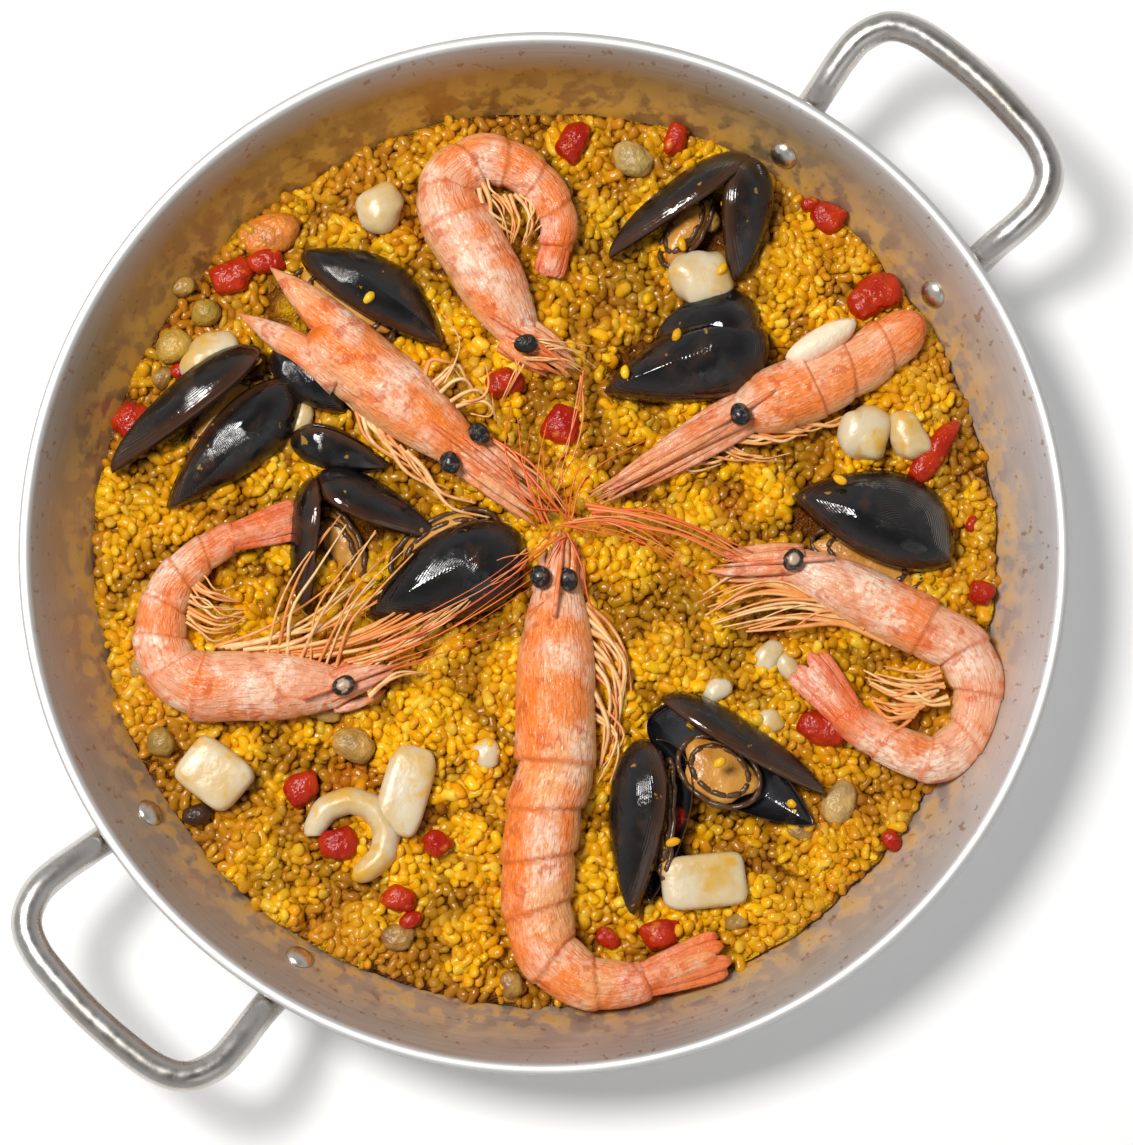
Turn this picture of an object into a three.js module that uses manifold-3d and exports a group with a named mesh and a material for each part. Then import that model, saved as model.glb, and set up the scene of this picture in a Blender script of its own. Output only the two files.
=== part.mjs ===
// A seafood paella in its pan: a spun pan with two riveted rod handles, a bed of rice,
// and the prawns, mussels, squid and vegetables that lie on it.
// Millimetres, +Z up, origin under the middle of the pan, +X along the line of the handles.
import * as THREE from "three";
import Module from "manifold-3d";
import { mergeVertices } from "three/addons/utils/BufferGeometryUtils.js";

const wasm = await Module();
wasm.setup();

// Driving dimensions.
const RIM_RADIUS = 180;
const PAN_DEPTH = 50;
const SHEET = 3;
const WALL_LEAN = THREE.MathUtils.degToRad(35);
const FLOOR_CORNER = 12;
const PAN_SIDES = 56;

const ROD = 10.5;
const HANDLE_REACH = 220;
const HANDLE_HALF_SPREAD = 40;
const RIVET_HEIGHT = 31.5;
const RIVET_SHANK = 3;
const RIVET_HEAD = 5.2;

const RICE_LEVEL = 25.5;
const RICE_RIPPLE = 0.9;
const FOOD_TURN = THREE.MathUtils.degToRad(-46.4);

const GAP = 0.4;
const SLIVER = 0.06;
const VALVE_DISH = 0.4;

const group = new THREE.Group();

// ---------------------------------------------------------------- solids from rings

// A closed body from a first point, rings of equal count, and a last point.
function loft(first, rings, last) {
  const count = rings[0].length;
  const points = [first, ...rings.flat(), last];
  const index = [];
  for (let i = 0; i < count; i++) {
    const next = (i + 1) % count;
    index.push(0, 1 + next, 1 + i);
    for (let r = 0; r + 1 < rings.length; r++) {
      const a = 1 + r * count;
      const b = a + count;
      index.push(a + i, a + next, b + next, a + i, b + next, b + i);
    }
    const end = 1 + (rings.length - 1) * count;
    index.push(end + i, end + next, points.length - 1);
  }
  const geometry = new THREE.BufferGeometry().setFromPoints(points);
  geometry.setIndex(index);
  return facingOut(geometry);
}

function signedVolume(geometry) {
  const at = geometry.attributes.position;
  const corner = [new THREE.Vector3(), new THREE.Vector3(), new THREE.Vector3()];
  let sum = 0;
  for (let i = 0; i < geometry.index.count; i += 3) {
    corner.forEach((c, k) => c.fromBufferAttribute(at, geometry.index.getX(i + k)));
    sum += corner[0].dot(corner[1].clone().cross(corner[2])) / 6;
  }
  return sum;
}

function facingOut(geometry) {
  if (signedVolume(geometry) < 0) {
    geometry.setIndex(Array.from(geometry.index.array).reverse());
  }
  return geometry;
}

// A copy that keeps only positions, with its shared corners joined.
function merged(geometry) {
  const bare = geometry.clone();
  bare.deleteAttribute("normal");
  bare.deleteAttribute("uv");
  return mergeVertices(bare, 1e-4);
}

function toSolid(geometry) {
  const closed = merged(geometry);
  return new wasm.Manifold(new wasm.Mesh({
    numProp: 3,
    vertProperties: new Float32Array(closed.attributes.position.array),
    triVerts: new Uint32Array(closed.index.array),
  }));
}

function toGeometry(solid) {
  const mesh = solid.getMesh();
  const geometry = new THREE.BufferGeometry();
  geometry.setAttribute("position", new THREE.BufferAttribute(new Float32Array(mesh.vertProperties), 3));
  geometry.setIndex(new THREE.BufferAttribute(new Uint32Array(mesh.triVerts), 1));
  return geometry;
}

// The same surface moved outwards along its normals, to cut a neighbour with a gap.
function swollen(geometry, by) {
  const grown = merged(geometry);
  grown.computeVertexNormals();
  const at = grown.attributes.position;
  const normal = grown.attributes.normal;
  for (let i = 0; i < at.count; i++) {
    at.setXYZ(
      i,
      at.getX(i) + normal.getX(i) * by,
      at.getY(i) + normal.getY(i) * by,
      at.getZ(i) + normal.getZ(i) * by,
    );
  }
  return grown;
}

// The largest piece that a cut leaves, without the slivers along its new edges.
function afterCut(solid) {
  const bodies = solid.simplify(SLIVER).decompose();
  bodies.sort((a, b) => b.volume() - a.volume());
  return bodies[0];
}

function addMesh(parent, name, geometry, color, roughness, metalness) {
  const flat = geometry.index ? geometry.toNonIndexed() : geometry;
  flat.computeVertexNormals();
  const mesh = new THREE.Mesh(flat, new THREE.MeshStandardMaterial({ color, roughness, metalness }));
  mesh.name = name;
  parent.add(mesh);
}

// ---------------------------------------------------------------- pan

const FLOOR_RADIUS = RIM_RADIUS - PAN_DEPTH * Math.tan(WALL_LEAN);
const CORNER_CENTRE = FLOOR_RADIUS - FLOOR_CORNER * Math.tan((Math.PI / 2 - WALL_LEAN) / 2);

// The radius of the wall at a height, on the skin that lies `inset` inside the outer one.
function wallRadius(z, inset) {
  return RIM_RADIUS - (PAN_DEPTH - z) * Math.tan(WALL_LEAN) - inset / Math.cos(WALL_LEAN);
}

// The pan's floor and corner on the skin that lies `inset` inside the outer one.
function floorSkin(inset) {
  const radius = FLOOR_CORNER - inset;
  const sweep = Math.PI / 2 - WALL_LEAN;
  const steps = 2;
  const skin = [new THREE.Vector2(0, inset)];
  for (let i = 0; i <= steps; i++) {
    const angle = (sweep * i) / steps;
    skin.push(new THREE.Vector2(
      CORNER_CENTRE + radius * Math.sin(angle),
      FLOOR_CORNER - radius * Math.cos(angle),
    ));
  }
  return skin;
}

const rimEase = 0.8;
const panProfile = [
  ...floorSkin(0),
  new THREE.Vector2(wallRadius(PAN_DEPTH - rimEase, 0), PAN_DEPTH - rimEase),
  new THREE.Vector2(RIM_RADIUS - rimEase, PAN_DEPTH),
  new THREE.Vector2(wallRadius(PAN_DEPTH, SHEET) + rimEase, PAN_DEPTH),
  new THREE.Vector2(wallRadius(PAN_DEPTH - rimEase, SHEET), PAN_DEPTH - rimEase),
  ...floorSkin(SHEET).reverse(),
];
const panBlank = toSolid(facingOut(merged(new THREE.LatheGeometry(panProfile, PAN_SIDES).rotateX(Math.PI / 2))));

// ---------------------------------------------------------------- handles and rivets

// A short round bar along the wall's normal, from `low` to `high` measured outwards from the
// wall's inner face, where a rivet sits at `side` (+1 or -1) of the handle's own line.
function wallBar(radius, low, high, side, sides) {
  const bar = new THREE.CylinderGeometry(radius, radius, high - low, sides);
  bar.rotateZ(-Math.PI / 2);
  bar.translate((low + high) / 2, 0, 0);
  return placedOnWall(bar, side);
}

const RIVET_ANGLE = Math.asin(HANDLE_HALF_SPREAD / (RIM_RADIUS + 2));

function placedOnWall(geometry, side) {
  geometry.rotateY(WALL_LEAN);
  geometry.translate(wallRadius(RIVET_HEIGHT, SHEET), 0, RIVET_HEIGHT);
  geometry.rotateZ(side * RIVET_ANGLE);
  return geometry;
}

const TAB = { thickness: 3, width: 15, length: 27, above: 3.5 };
const TAB_START = SHEET + 0.3;

// The rod's flattened end, a rounded plate that lies on the wall's outer face.
function tabPlate(side) {
  const plate = new THREE.Shape();
  plate.absellipse(0, 0, TAB.length / 2, TAB.width / 2, 0, Math.PI * 2);
  const tab = new THREE.ExtrudeGeometry(plate, { depth: TAB.thickness, bevelEnabled: false, curveSegments: 5 });
  tab.rotateY(Math.PI / 2);
  tab.translate(TAB_START, 0, TAB.above);
  return placedOnWall(tab, side);
}

// The rod rises from one tab along the wall, bends out past the rim, turns round the grip
// and comes back to the other tab.
function handleSolid() {
  const half = [
    new THREE.Vector3(170.7, 38.5, 33.1),
    new THREE.Vector3(176, 39.6, 41.2),
    new THREE.Vector3(184, 40.6, 48),
    new THREE.Vector3(193.5, 42, 52.4),
    new THREE.Vector3(203, 42, 55.4),
    new THREE.Vector3(212.5, 37.5, 57.2),
    new THREE.Vector3(217.5, 28, 57.9),
    new THREE.Vector3(HANDLE_REACH - 0.6, 14, 58.2),
  ];
  const mirrored = half.slice().reverse().map((p) => new THREE.Vector3(p.x, -p.y, p.z));
  const grip = new THREE.Vector3(HANDLE_REACH, 0, 58.3);
  const route = new THREE.CatmullRomCurve3([...half, grip, ...mirrored]);
  const section = new THREE.Shape();
  section.absarc(0, 0, ROD / 2, 0, Math.PI * 2);
  const rod = new THREE.ExtrudeGeometry(section, { steps: 18, curveSegments: 4, extrudePath: route });
  let solid = toSolid(rod);
  for (const side of [1, -1]) {
    solid = solid.add(toSolid(tabPlate(side)));
  }
  for (const side of [1, -1]) {
    solid = solid.subtract(toSolid(wallBar(RIVET_SHANK + GAP, -10, TAB_START + 12, side, 8)));
  }
  return afterCut(solid);
}

// A rivet: a low dome inside the pan, a shank through wall and tab, and a flat outer head.
function rivetSolid(side) {
  const profile = [
    new THREE.Vector2(0, -2.4),
    new THREE.Vector2(RIVET_HEAD * 0.62, -1.9),
    new THREE.Vector2(RIVET_HEAD, -GAP),
    new THREE.Vector2(RIVET_SHANK, -GAP),
    new THREE.Vector2(RIVET_SHANK, TAB_START + TAB.thickness + GAP),
    new THREE.Vector2(RIVET_HEAD, TAB_START + TAB.thickness + GAP),
    new THREE.Vector2(RIVET_HEAD * 0.7, TAB_START + TAB.thickness + 1.8),
    new THREE.Vector2(0, TAB_START + TAB.thickness + 2.1),
  ];
  const rivet = merged(new THREE.LatheGeometry(profile, 6));
  rivet.rotateZ(-Math.PI / 2);
  return placedOnWall(facingOut(rivet), side);
}

let pan = panBlank;
const handle = handleSolid();
const metalCutters = [swollen(toGeometry(panBlank), GAP)];
for (const [end, turn] of [[1, 0], [2, Math.PI]]) {
  const side = new THREE.Group();
  side.rotation.z = turn;
  addMesh(side, `handle_${end}`, toGeometry(handle), 0xb9b7b2, 0.28, 1);
  [1, -1].forEach((hand, k) => {
    const rivet = rivetSolid(hand);
    addMesh(side, `rivet_${end * 2 - 1 + k}`, rivet, 0xcfcdc8, 0.35, 1);
    metalCutters.push(swollen(rivet, GAP).rotateZ(turn));
    const hole = wallBar(RIVET_SHANK + GAP, -8, SHEET + 8, hand, 8);
    hole.rotateZ(turn);
    pan = pan.subtract(toSolid(hole));
  });
  group.add(side);
}
addMesh(group, "pan", toGeometry(afterCut(pan)), 0xb4b3b0, 0.4, 1);

// ---------------------------------------------------------------- food, in a turned group

const food = new THREE.Group();
food.rotation.z = FOOD_TURN;
group.add(food);

// Pieces in the order in which they keep their shape: each is cut by those before it, so what
// lies on the rice ends where it meets the rice.
const laid = [];

function lay(name, bodies, color, roughness) {
  let solid = bodies.map(toSolid).reduce((all, body) => all.add(body));
  const box = boxOf(toGeometry(solid));
  for (const other of laid) {
    if (other.box.intersectsBox(box)) {
      solid = solid.subtract(other.cutter);
    }
  }
  const kept = afterCut(solid);
  addMesh(food, name, toGeometry(kept), color, roughness, 0);
  laid.push({ cutter: kept, box: boxOf(toGeometry(kept)) });
  for (const body of bodies) {
    const grown = swollen(body, GAP);
    laid.push({ cutter: toSolid(grown), box: boxOf(grown) });
  }
}

function boxOf(geometry) {
  return new THREE.Box3().setFromBufferAttribute(geometry.attributes.position);
}

// ---------------------------------------------------------------- rice bed

// The height of the rice: level, with low rounded heaps and a slight fall to the wall.
function riceHeight(radius, turn) {
  const x = radius * Math.cos(turn);
  const y = radius * Math.sin(turn);
  const heaps = Math.sin(x / 13 + 1.1) * Math.cos(y / 15) + 0.7 * Math.sin((x + y) / 9 + 0.4);
  const edge = 0.9 * Math.sin(5 * turn) + 0.6 * Math.sin(11 * turn + 1);
  return RICE_LEVEL + RICE_RIPPLE * (heaps + edge * Math.pow(radius / 158, 6));
}

function riceBed() {
  const sides = 44;
  const inset = SHEET + GAP + 0.25;
  const ringOf = (place) => {
    const ring = [];
    for (let i = 0; i < sides; i++) {
      const turn = (2 * Math.PI * i) / sides;
      const { radius, z } = place(turn);
      ring.push(new THREE.Vector3(radius * Math.cos(turn), radius * Math.sin(turn), z));
    }
    return ring;
  };
  const skin = floorSkin(inset).slice(1);
  const rings = skin.map((p) => ringOf(() => ({ radius: p.x, z: p.y })));
  rings.push(ringOf((turn) => {
    const z = riceHeight(158, turn);
    return { radius: wallRadius(z, inset), z };
  }));
  for (const radius of [138, 106, 74, 40]) {
    rings.push(ringOf((turn) => ({ radius, z: riceHeight(radius, turn) })));
  }
  return loft(new THREE.Vector3(0, 0, inset), rings, new THREE.Vector3(0, 0, riceHeight(0, 0)));
}

for (const metal of metalCutters) {
  metal.rotateZ(-FOOD_TURN);
  laid.push({ cutter: toSolid(metal), box: boxOf(metal) });
}

lay("rice", [riceBed()], 0xd9a520, 0.55);

// ---------------------------------------------------------------- prawns

// Each spine in plan: the tip of the snout, the brow, the joint where carapace meets tail,
// the bends of the tail, and the tip of the tail fan. `end` is how thick the tail ends, and a
// higher `hold` keeps it thick for longer.
const PRAWNS = [
  { width: 25, end: 0.5, hold: 0.8, fan: 10, nose: [13, 62], brow: [-8, 75], joint: [-32, 118],
    tail: [[-34, 130], [-21, 139], [-4, 132], [5, 116], [1, 94]] },
  { width: 27, end: 0.8, hold: 1, fan: 3, nose: [5, 10], brow: [-28, 35], joint: [-68, 68],
    tail: [[-85, 82], [-101, 92]] },
  { width: 20.5, end: 0.84, hold: 1, fan: 3, nose: [8, 13], brow: [68, 48], joint: [94, 58],
    tail: [[110, 66], [124, 76], [135, 84]] },
  { width: 21.5, end: 0.62, hold: 1.5, fan: 24, nose: [53, -6], brow: [85, -4], joint: [132, -27],
    tail: [[145, -35], [150.5, -50], [146, -65], [133, -72], [116, -65], [105, -57], [91, -35]] },
  { width: 28, end: 0.5, hold: 2.4, fan: 32, nose: [7, 8], brow: [5, -10], joint: [4, -74],
    tail: [[0, -91], [-2, -109], [-2, -125], [2, -139], [14, -148], [29, -149], [44, -143], [60, -128]] },
  { width: 24.5, end: 0.46, hold: 0.9, fan: 27, nose: [-46, -38], brow: [-70, -47], joint: [-120, -46],
    tail: [[-130, -39], [-133, -27], [-129, -12], [-117, 0], [-104, 6], [-80, 10]] },
];
const PRAWN_HEIGHT = 31;
const TAIL_RINGS = 6;

function prawnStations(prawn) {
  const half = prawn.width / 2;
  const place = (p, angle, wide, tall) => ({ x: p.x, y: p.y, angle, wide: half * wide, tall: half * tall });
  const [nose, brow, joint] = [prawn.nose, prawn.brow, prawn.joint].map(([x, y]) => new THREE.Vector2(x, y));
  const heading = brow.clone().sub(joint).angle();
  const carapace = (share, wide, tall) => place(joint.clone().lerp(brow, share), heading, wide, tall);
  const snout = nose.clone().sub(brow);
  const stations = [
    place(brow.clone().addScaledVector(snout, 0.6), snout.angle(), 0.28, 0.26),
    place(brow.clone().addScaledVector(snout, 0.05), snout.angle(), 0.6, 0.5),
    carapace(0.62, 0.94, 0.76),
    carapace(0.3, 1.02, 0.8),
    carapace(0.03, 0.98, 0.78),
  ];
  const bends = [prawn.joint, ...prawn.tail].map(([x, y]) => new THREE.Vector3(x, y, 0));
  const spine = new THREE.CatmullRomCurve3(bends);
  const fanStart = 1 - prawn.fan / spine.getLength();
  const along = (share, wide, tall) => {
    const back = spine.getTangentAt(share).negate();
    return place(spine.getPointAt(share), Math.atan2(back.y, back.x), wide, tall);
  };
  for (let i = 0; i < TAIL_RINGS; i++) {
    const size = 0.98 + (prawn.end - 0.98) * Math.pow(i / (TAIL_RINGS - 1), prawn.hold);
    stations.push(along((fanStart * (i + 0.12)) / TAIL_RINGS, size - 0.07, (size - 0.07) * 0.8));
    stations.push(along((fanStart * (i + 0.92)) / TAIL_RINGS, size, size * 0.8));
  }
  stations.push(along(fanStart + (1 - fanStart) * 0.85, prawn.end * 0.9, prawn.end * 0.4));
  return stations;
}

// An oval ring across the spine at one station, at height z.
function ringAt(station, z, sides) {
  const ring = [];
  for (let i = 0; i < sides; i++) {
    const turn = (2 * Math.PI * i) / sides;
    const across = station.wide * Math.cos(turn);
    ring.push(new THREE.Vector3(
      station.x - across * Math.sin(station.angle),
      station.y + across * Math.cos(station.angle),
      z + station.tall * Math.sin(turn),
    ));
  }
  return ring;
}

function prawnGeometry(prawn) {
  const rings = prawnStations(prawn).map((station) => ringAt(station, PRAWN_HEIGHT, 8));
  const tip = prawn.tail[prawn.tail.length - 1];
  return loft(
    new THREE.Vector3(...prawn.nose, PRAWN_HEIGHT),
    rings,
    new THREE.Vector3(...tip, PRAWN_HEIGHT),
  );
}

PRAWNS.forEach((prawn, i) => {
  lay(`prawn_${i + 1}`, [prawnGeometry(prawn)], 0xe0764a, 0.45);
});

// ---------------------------------------------------------------- mussels

// The outline of a valve in its own plane: pointed at the hinge end (x = 0), full and round
// at the far end, with its lower side flatter than its upper.
function valveEdge(length, width, turn) {
  const s = (1 - Math.cos(turn)) / 2;
  const belly = Math.pow(Math.sin(Math.PI * Math.pow(s, 0.62)), 0.8);
  const side = Math.sin(turn) >= 0 ? 0.56 : -0.44;
  return new THREE.Vector2(length * s, width * side * belly);
}

const VALVE_SIDES = 10;

function valveRing(length, width, depth, share) {
  const ring = [];
  const apex = length * 0.4;
  for (let i = 0; i < VALVE_SIDES; i++) {
    const edge = valveEdge(length, width, (2 * Math.PI * (i + 0.5)) / VALVE_SIDES);
    ring.push(new THREE.Vector3(
      apex + (edge.x - apex) * share,
      edge.y * share,
      depth * Math.sqrt(1 - share * share),
    ));
  }
  return ring;
}

// A valve that has opened: domed outside, and dished inside by a share of its depth.
function openValve(length, width, depth) {
  const apex = (z) => new THREE.Vector3(length * 0.4, 0, z);
  const dish = depth * VALVE_DISH;
  return loft(apex(depth), [
    valveRing(length, width, depth, 0.7),
    valveRing(length, width, depth, 1),
    valveRing(length, width, dish, 0.88),
  ], apex(dish));
}

function shutValves(length, width, depth) {
  const apex = (z) => new THREE.Vector3(length * 0.4, 0, z);
  return loft(apex(depth), [
    valveRing(length, width, depth, 0.5),
    valveRing(length, width, depth, 0.85),
    valveRing(length, width, depth, 1),
    valveRing(length, width, -depth, 0.8),
  ], apex(-depth));
}

// `at` is the hinge end, `turn` the way from it to the round end, `roll` how far the seam
// stands up from level, `gape` the angle between the two valves.
const MUSSELS = [
  { at: [-86, 105], z: 28, turn: -34, length: 60, width: 31, depth: 11, roll: -12, gape: 0 },
  { at: [-96, 68], z: 28.5, turn: 224, length: 68, width: 24, depth: 11, roll: 75, gape: 22 },
  { at: [-95, 72], z: 26, turn: -42, length: 34, width: 20, depth: 8, roll: 0, gape: 0 },
  { at: [-89, 40], z: 25, turn: -14, length: 36, width: 17, depth: 7, roll: 0, gape: 0 },
  { at: [-80, 27], z: 28, turn: -60, length: 49, width: 24, depth: 8, roll: 84, gape: 66 },
  { at: [-61, -23], z: 28, turn: 28, length: 60, width: 33, depth: 12, roll: 0, gape: 0 },
  { at: [73, 140], z: 29, turn: 238, length: 62, width: 24, depth: 10, roll: 84, gape: 38, second: 0.7 },
  { at: [20, 56], z: 28, turn: 20, length: 62, width: 31, depth: 12, roll: 0, gape: 0 },
  { at: [84, 19], z: 28, turn: -24, length: 62, width: 34, depth: 12, roll: 8, gape: 0 },
  { at: [37, -56], z: 28.5, turn: -33, length: 66, width: 32, depth: 9, roll: -30, gape: 16 },
  { at: [36, -125], z: 29, turn: 90, length: 58, width: 24, depth: 10, roll: 84, gape: 14 },
];

// An open mussel has two valves that meet at the hinge, and the meat that fills the space
// between them over most of their length.
function musselBodies(mussel) {
  const { length, width, depth } = mussel;
  if (mussel.gape === 0) {
    return [placed(shutValves(length, width, depth), mussel)];
  }
  const half = THREE.MathUtils.degToRad(mussel.gape) / 2;
  const second = mussel.second ?? 1;
  const spread = depth + 0.4 * length * Math.sin(half);
  const upper = openValve(length, width, depth).rotateY(-half);
  const lower = facingOut(openValve(length * second, width, depth).scale(1, 1, -1)).rotateY(half);
  const meat = lump({ long: length * 0.7, wide: width * 0.7, tall: 2 * spread - 0.8 }, 2, 1, 7, 4);
  meat.translate(length * 0.4, 0, 0);
  return [upper, lower, meat].map((body) => placed(body, mussel));
}

function placed(geometry, item) {
  geometry.rotateX(THREE.MathUtils.degToRad(item.roll ?? 0));
  geometry.rotateZ(THREE.MathUtils.degToRad(item.turn));
  return geometry.translate(item.at[0], item.at[1], item.z);
}

// ---------------------------------------------------------------- squid, pepper and beans

// A closed lump: a ball that is squarer as `square` rises, with low dents set by `seed`.
function lump({ long, wide, tall }, square, seed, sides, rows) {
  const power = (v) => Math.sign(v) * Math.pow(Math.abs(v), 2 / square);
  const at = (turn, rise) => {
    const swell = 1 + (seed ? 0.07 * Math.sin(2 * turn + seed) + 0.05 * Math.sin(3 * turn + 2.3 * seed + rise) : 0);
    return new THREE.Vector3(
      (long / 2) * swell * power(Math.cos(rise)) * power(Math.cos(turn)),
      (wide / 2) * swell * power(Math.cos(rise)) * power(Math.sin(turn)),
      (tall / 2) * power(Math.sin(rise)),
    );
  };
  const rings = [];
  for (let r = 1; r < rows; r++) {
    const rise = -Math.PI / 2 + (Math.PI * r) / rows;
    const ring = [];
    for (let i = 0; i < sides; i++) {
      ring.push(at((2 * Math.PI * (i + 0.5)) / sides, rise));
    }
    rings.push(ring);
  }
  return loft(at(0, -Math.PI / 2), rings, at(0, Math.PI / 2));
}

MUSSELS.forEach((mussel, i) => {
  lay(`mussel_${i + 1}`, musselBodies(mussel), 0x1c1c22, 0.2);
});

const SQUID = [
  { at: [-114, -77], turn: -38, long: 24, wide: 20, tall: 12, square: 4.5 },
  { at: [-48, -83], turn: 74, long: 31, wide: 17, tall: 10, square: 4 },
  { at: [55, -114], turn: 6, long: 29, wide: 19, tall: 13, square: 5 },
  { at: [55, 97], turn: 20, long: 21, wide: 20, tall: 13, square: 3 },
  { at: [112, 42], turn: 80, long: 20, wide: 17, tall: 13, square: 3 },
  { at: [127, 41], turn: -65, long: 19, wide: 12, tall: 11, square: 3 },
  { at: [-58, 122], turn: 40, long: 18, wide: 16, tall: 12, square: 2.4 },
  { at: [-117, 69], turn: 30, long: 22, wide: 16, tall: 12, square: 2.4 },
];

SQUID.forEach((piece, i) => {
  const block = lump(piece, piece.square, 1 + i, 8, 6);
  lay(`squid_${i + 1}`, [placed(block, { ...piece, z: RICE_LEVEL + 3 })], 0xe9dfc4, 0.4);
});

// A curl of squid cut across: a ring with a piece missing.
const RING = { at: [-67, -99], radius: 12.5, wide: 9.5, tall: 10, from: 178, sweep: -262, z: RICE_LEVEL + 3 };

function squidRing() {
  const steps = 8;
  const rings = [];
  for (let i = 0; i <= steps; i++) {
    const turn = THREE.MathUtils.degToRad(RING.from + (RING.sweep * i) / steps);
    const full = i === 0 || i === steps ? 0.7 : 1;
    rings.push(ringAt({
      x: RING.at[0] + RING.radius * Math.cos(turn),
      y: RING.at[1] + RING.radius * Math.sin(turn),
      angle: turn - Math.PI / 2,
      wide: (RING.wide / 2) * full,
      tall: (RING.tall / 2) * full,
    }, RING.z, 6));
  }
  const middle = (ring) => ring.reduce((sum, p) => sum.add(p), new THREE.Vector3()).divideScalar(ring.length);
  return loft(middle(rings[0]), rings, middle(rings[steps]));
}

lay("squid_ring", [squidRing()], 0xe9dfc4, 0.4);

const PEPPERS = [
  { at: [10, 146], turn: 60, long: 14, wide: 11 },
  { at: [46, 147], turn: 80, long: 12, wide: 8 },
  { at: [100, 119], turn: -30, long: 13, wide: 10 },
  { at: [116, 91], turn: 25, long: 19, wide: 14 },
  { at: [136, 35], turn: 58, long: 25, wide: 9 },
  { at: [152, -14], turn: -20, long: 9.5, wide: 8 },
  { at: [97, -61], turn: -15, long: 17, wide: 13 },
  { at: [-14, 60], turn: 20, long: 13, wide: 10 },
  { at: [6, 45], turn: 70, long: 15, wide: 12 },
  { at: [-110, 98], turn: 15, long: 15, wide: 12 },
  { at: [-98, 103], turn: 10, long: 13, wide: 9 },
  { at: [-144.5, 46.5], turn: 50, long: 14, wide: 11 },
  { at: [-84, -82], turn: 25, long: 12.5, wide: 11 },
  { at: [-71, -101], turn: 10, long: 13, wide: 12 },
  { at: [-37, -101], turn: 45, long: 9.5, wide: 9 },
  { at: [-50, -120], turn: -25, long: 12, wide: 9 },
  { at: [40, -132], turn: 15, long: 13, wide: 11 },
];

PEPPERS.forEach((piece, i) => {
  const dice = lump({ ...piece, tall: 9 }, 3.2, 2 + i, 6, 4);
  lay(`pepper_${i + 1}`, [placed(dice, { ...piece, z: RICE_LEVEL + 1 })], 0xb3261a, 0.3);
});

const BEANS = [
  { at: [-97, 113], turn: 12, long: 22, wide: 15 },
  { at: [-119, 85], turn: 0, long: 10, wide: 10 },
  { at: [-130, 73], turn: 40, long: 13, wide: 12 },
  { at: [31, 140], turn: -20, long: 15, wide: 12 },
  { at: [-133, -66], turn: 0, long: 10, wide: 10 },
  { at: [-120, -91], turn: 12, long: 11, wide: 7 },
  { at: [102, -87], turn: 60, long: 16, wide: 11 },
  { at: [-66, -67], turn: -30, long: 15, wide: 12 },
];

BEANS.forEach((piece, i) => {
  const bean = lump({ ...piece, tall: 9 }, 2.2, 4 + i, 6, 4);
  lay(`bean_${i + 1}`, [placed(bean, { ...piece, z: RICE_LEVEL + 1 })], 0xb88a44, 0.5);
});

export default group;
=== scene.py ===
"""A seafood paella in its pan: spun aluminium pan, riveted rod handles, a bed of yellow rice,
and the prawns, mussels, squid and vegetables that lie on it. Metres, +Z up."""

import math

import bmesh
import bpy
import numpy as np
from mathutils import Matrix, Vector
from mathutils.bvhtree import BVHTree


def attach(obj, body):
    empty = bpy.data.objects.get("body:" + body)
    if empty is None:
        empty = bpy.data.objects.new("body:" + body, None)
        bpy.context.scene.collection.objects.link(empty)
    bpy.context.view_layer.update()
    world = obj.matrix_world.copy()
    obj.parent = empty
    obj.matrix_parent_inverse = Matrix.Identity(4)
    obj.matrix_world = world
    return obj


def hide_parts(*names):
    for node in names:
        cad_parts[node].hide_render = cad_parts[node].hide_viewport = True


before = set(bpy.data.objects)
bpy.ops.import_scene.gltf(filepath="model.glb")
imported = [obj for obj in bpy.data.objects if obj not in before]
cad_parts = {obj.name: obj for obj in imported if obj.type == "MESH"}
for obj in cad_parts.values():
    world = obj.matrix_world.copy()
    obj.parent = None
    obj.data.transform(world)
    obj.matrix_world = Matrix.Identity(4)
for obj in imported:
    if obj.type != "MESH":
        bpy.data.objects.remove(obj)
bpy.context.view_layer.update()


# ---------------------------------------------------------------- stage
# A plain pale floor under soft studio light: one broad lamp high on the far side, a weak one
# opposite it, and a camera that looks down almost from straight above.
AZIMUTH = math.radians(-46.4)
ELEVATION = math.radians(83.5)
CAMERA_TARGET = Vector((-0.0016, -0.0121, 0.05))
CAMERA_DISTANCE = 1.2

back = Vector((
    math.sin(AZIMUTH) * math.cos(ELEVATION),
    -math.cos(AZIMUTH) * math.cos(ELEVATION),
    math.sin(ELEVATION),
))
right = Vector((math.cos(AZIMUTH), math.sin(AZIMUTH), 0))
camera = bpy.data.objects.new("camera", bpy.data.cameras.new("camera"))
camera.data.sensor_fit = "VERTICAL"
camera.data.sensor_height = 36
camera.data.lens = 110.45
camera.matrix_world = (
    Matrix.Translation(CAMERA_TARGET + CAMERA_DISTANCE * back)
    @ Matrix((right, back.cross(right), back)).transposed().to_4x4()
)
bpy.context.scene.collection.objects.link(camera)
bpy.context.scene.camera = camera


def lamp(name, place, size, watts, color):
    light = bpy.data.lights.new(name, "AREA")
    light.shape = "DISK"
    light.size = size
    light.energy = watts
    light.color = color
    holder = bpy.data.objects.new(name, light)
    holder.location = place
    holder.rotation_euler = (-Vector(place)).to_track_quat("-Z", "Y").to_euler()
    bpy.context.scene.collection.objects.link(holder)


lamp("key", (-0.22, 0.64, 1.55), 0.52, 28, (1, 0.985, 0.96))
lamp("fill", (-0.3, -1.1, 1.3), 0.9, 1.2, (0.95, 0.98, 1))

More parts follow.
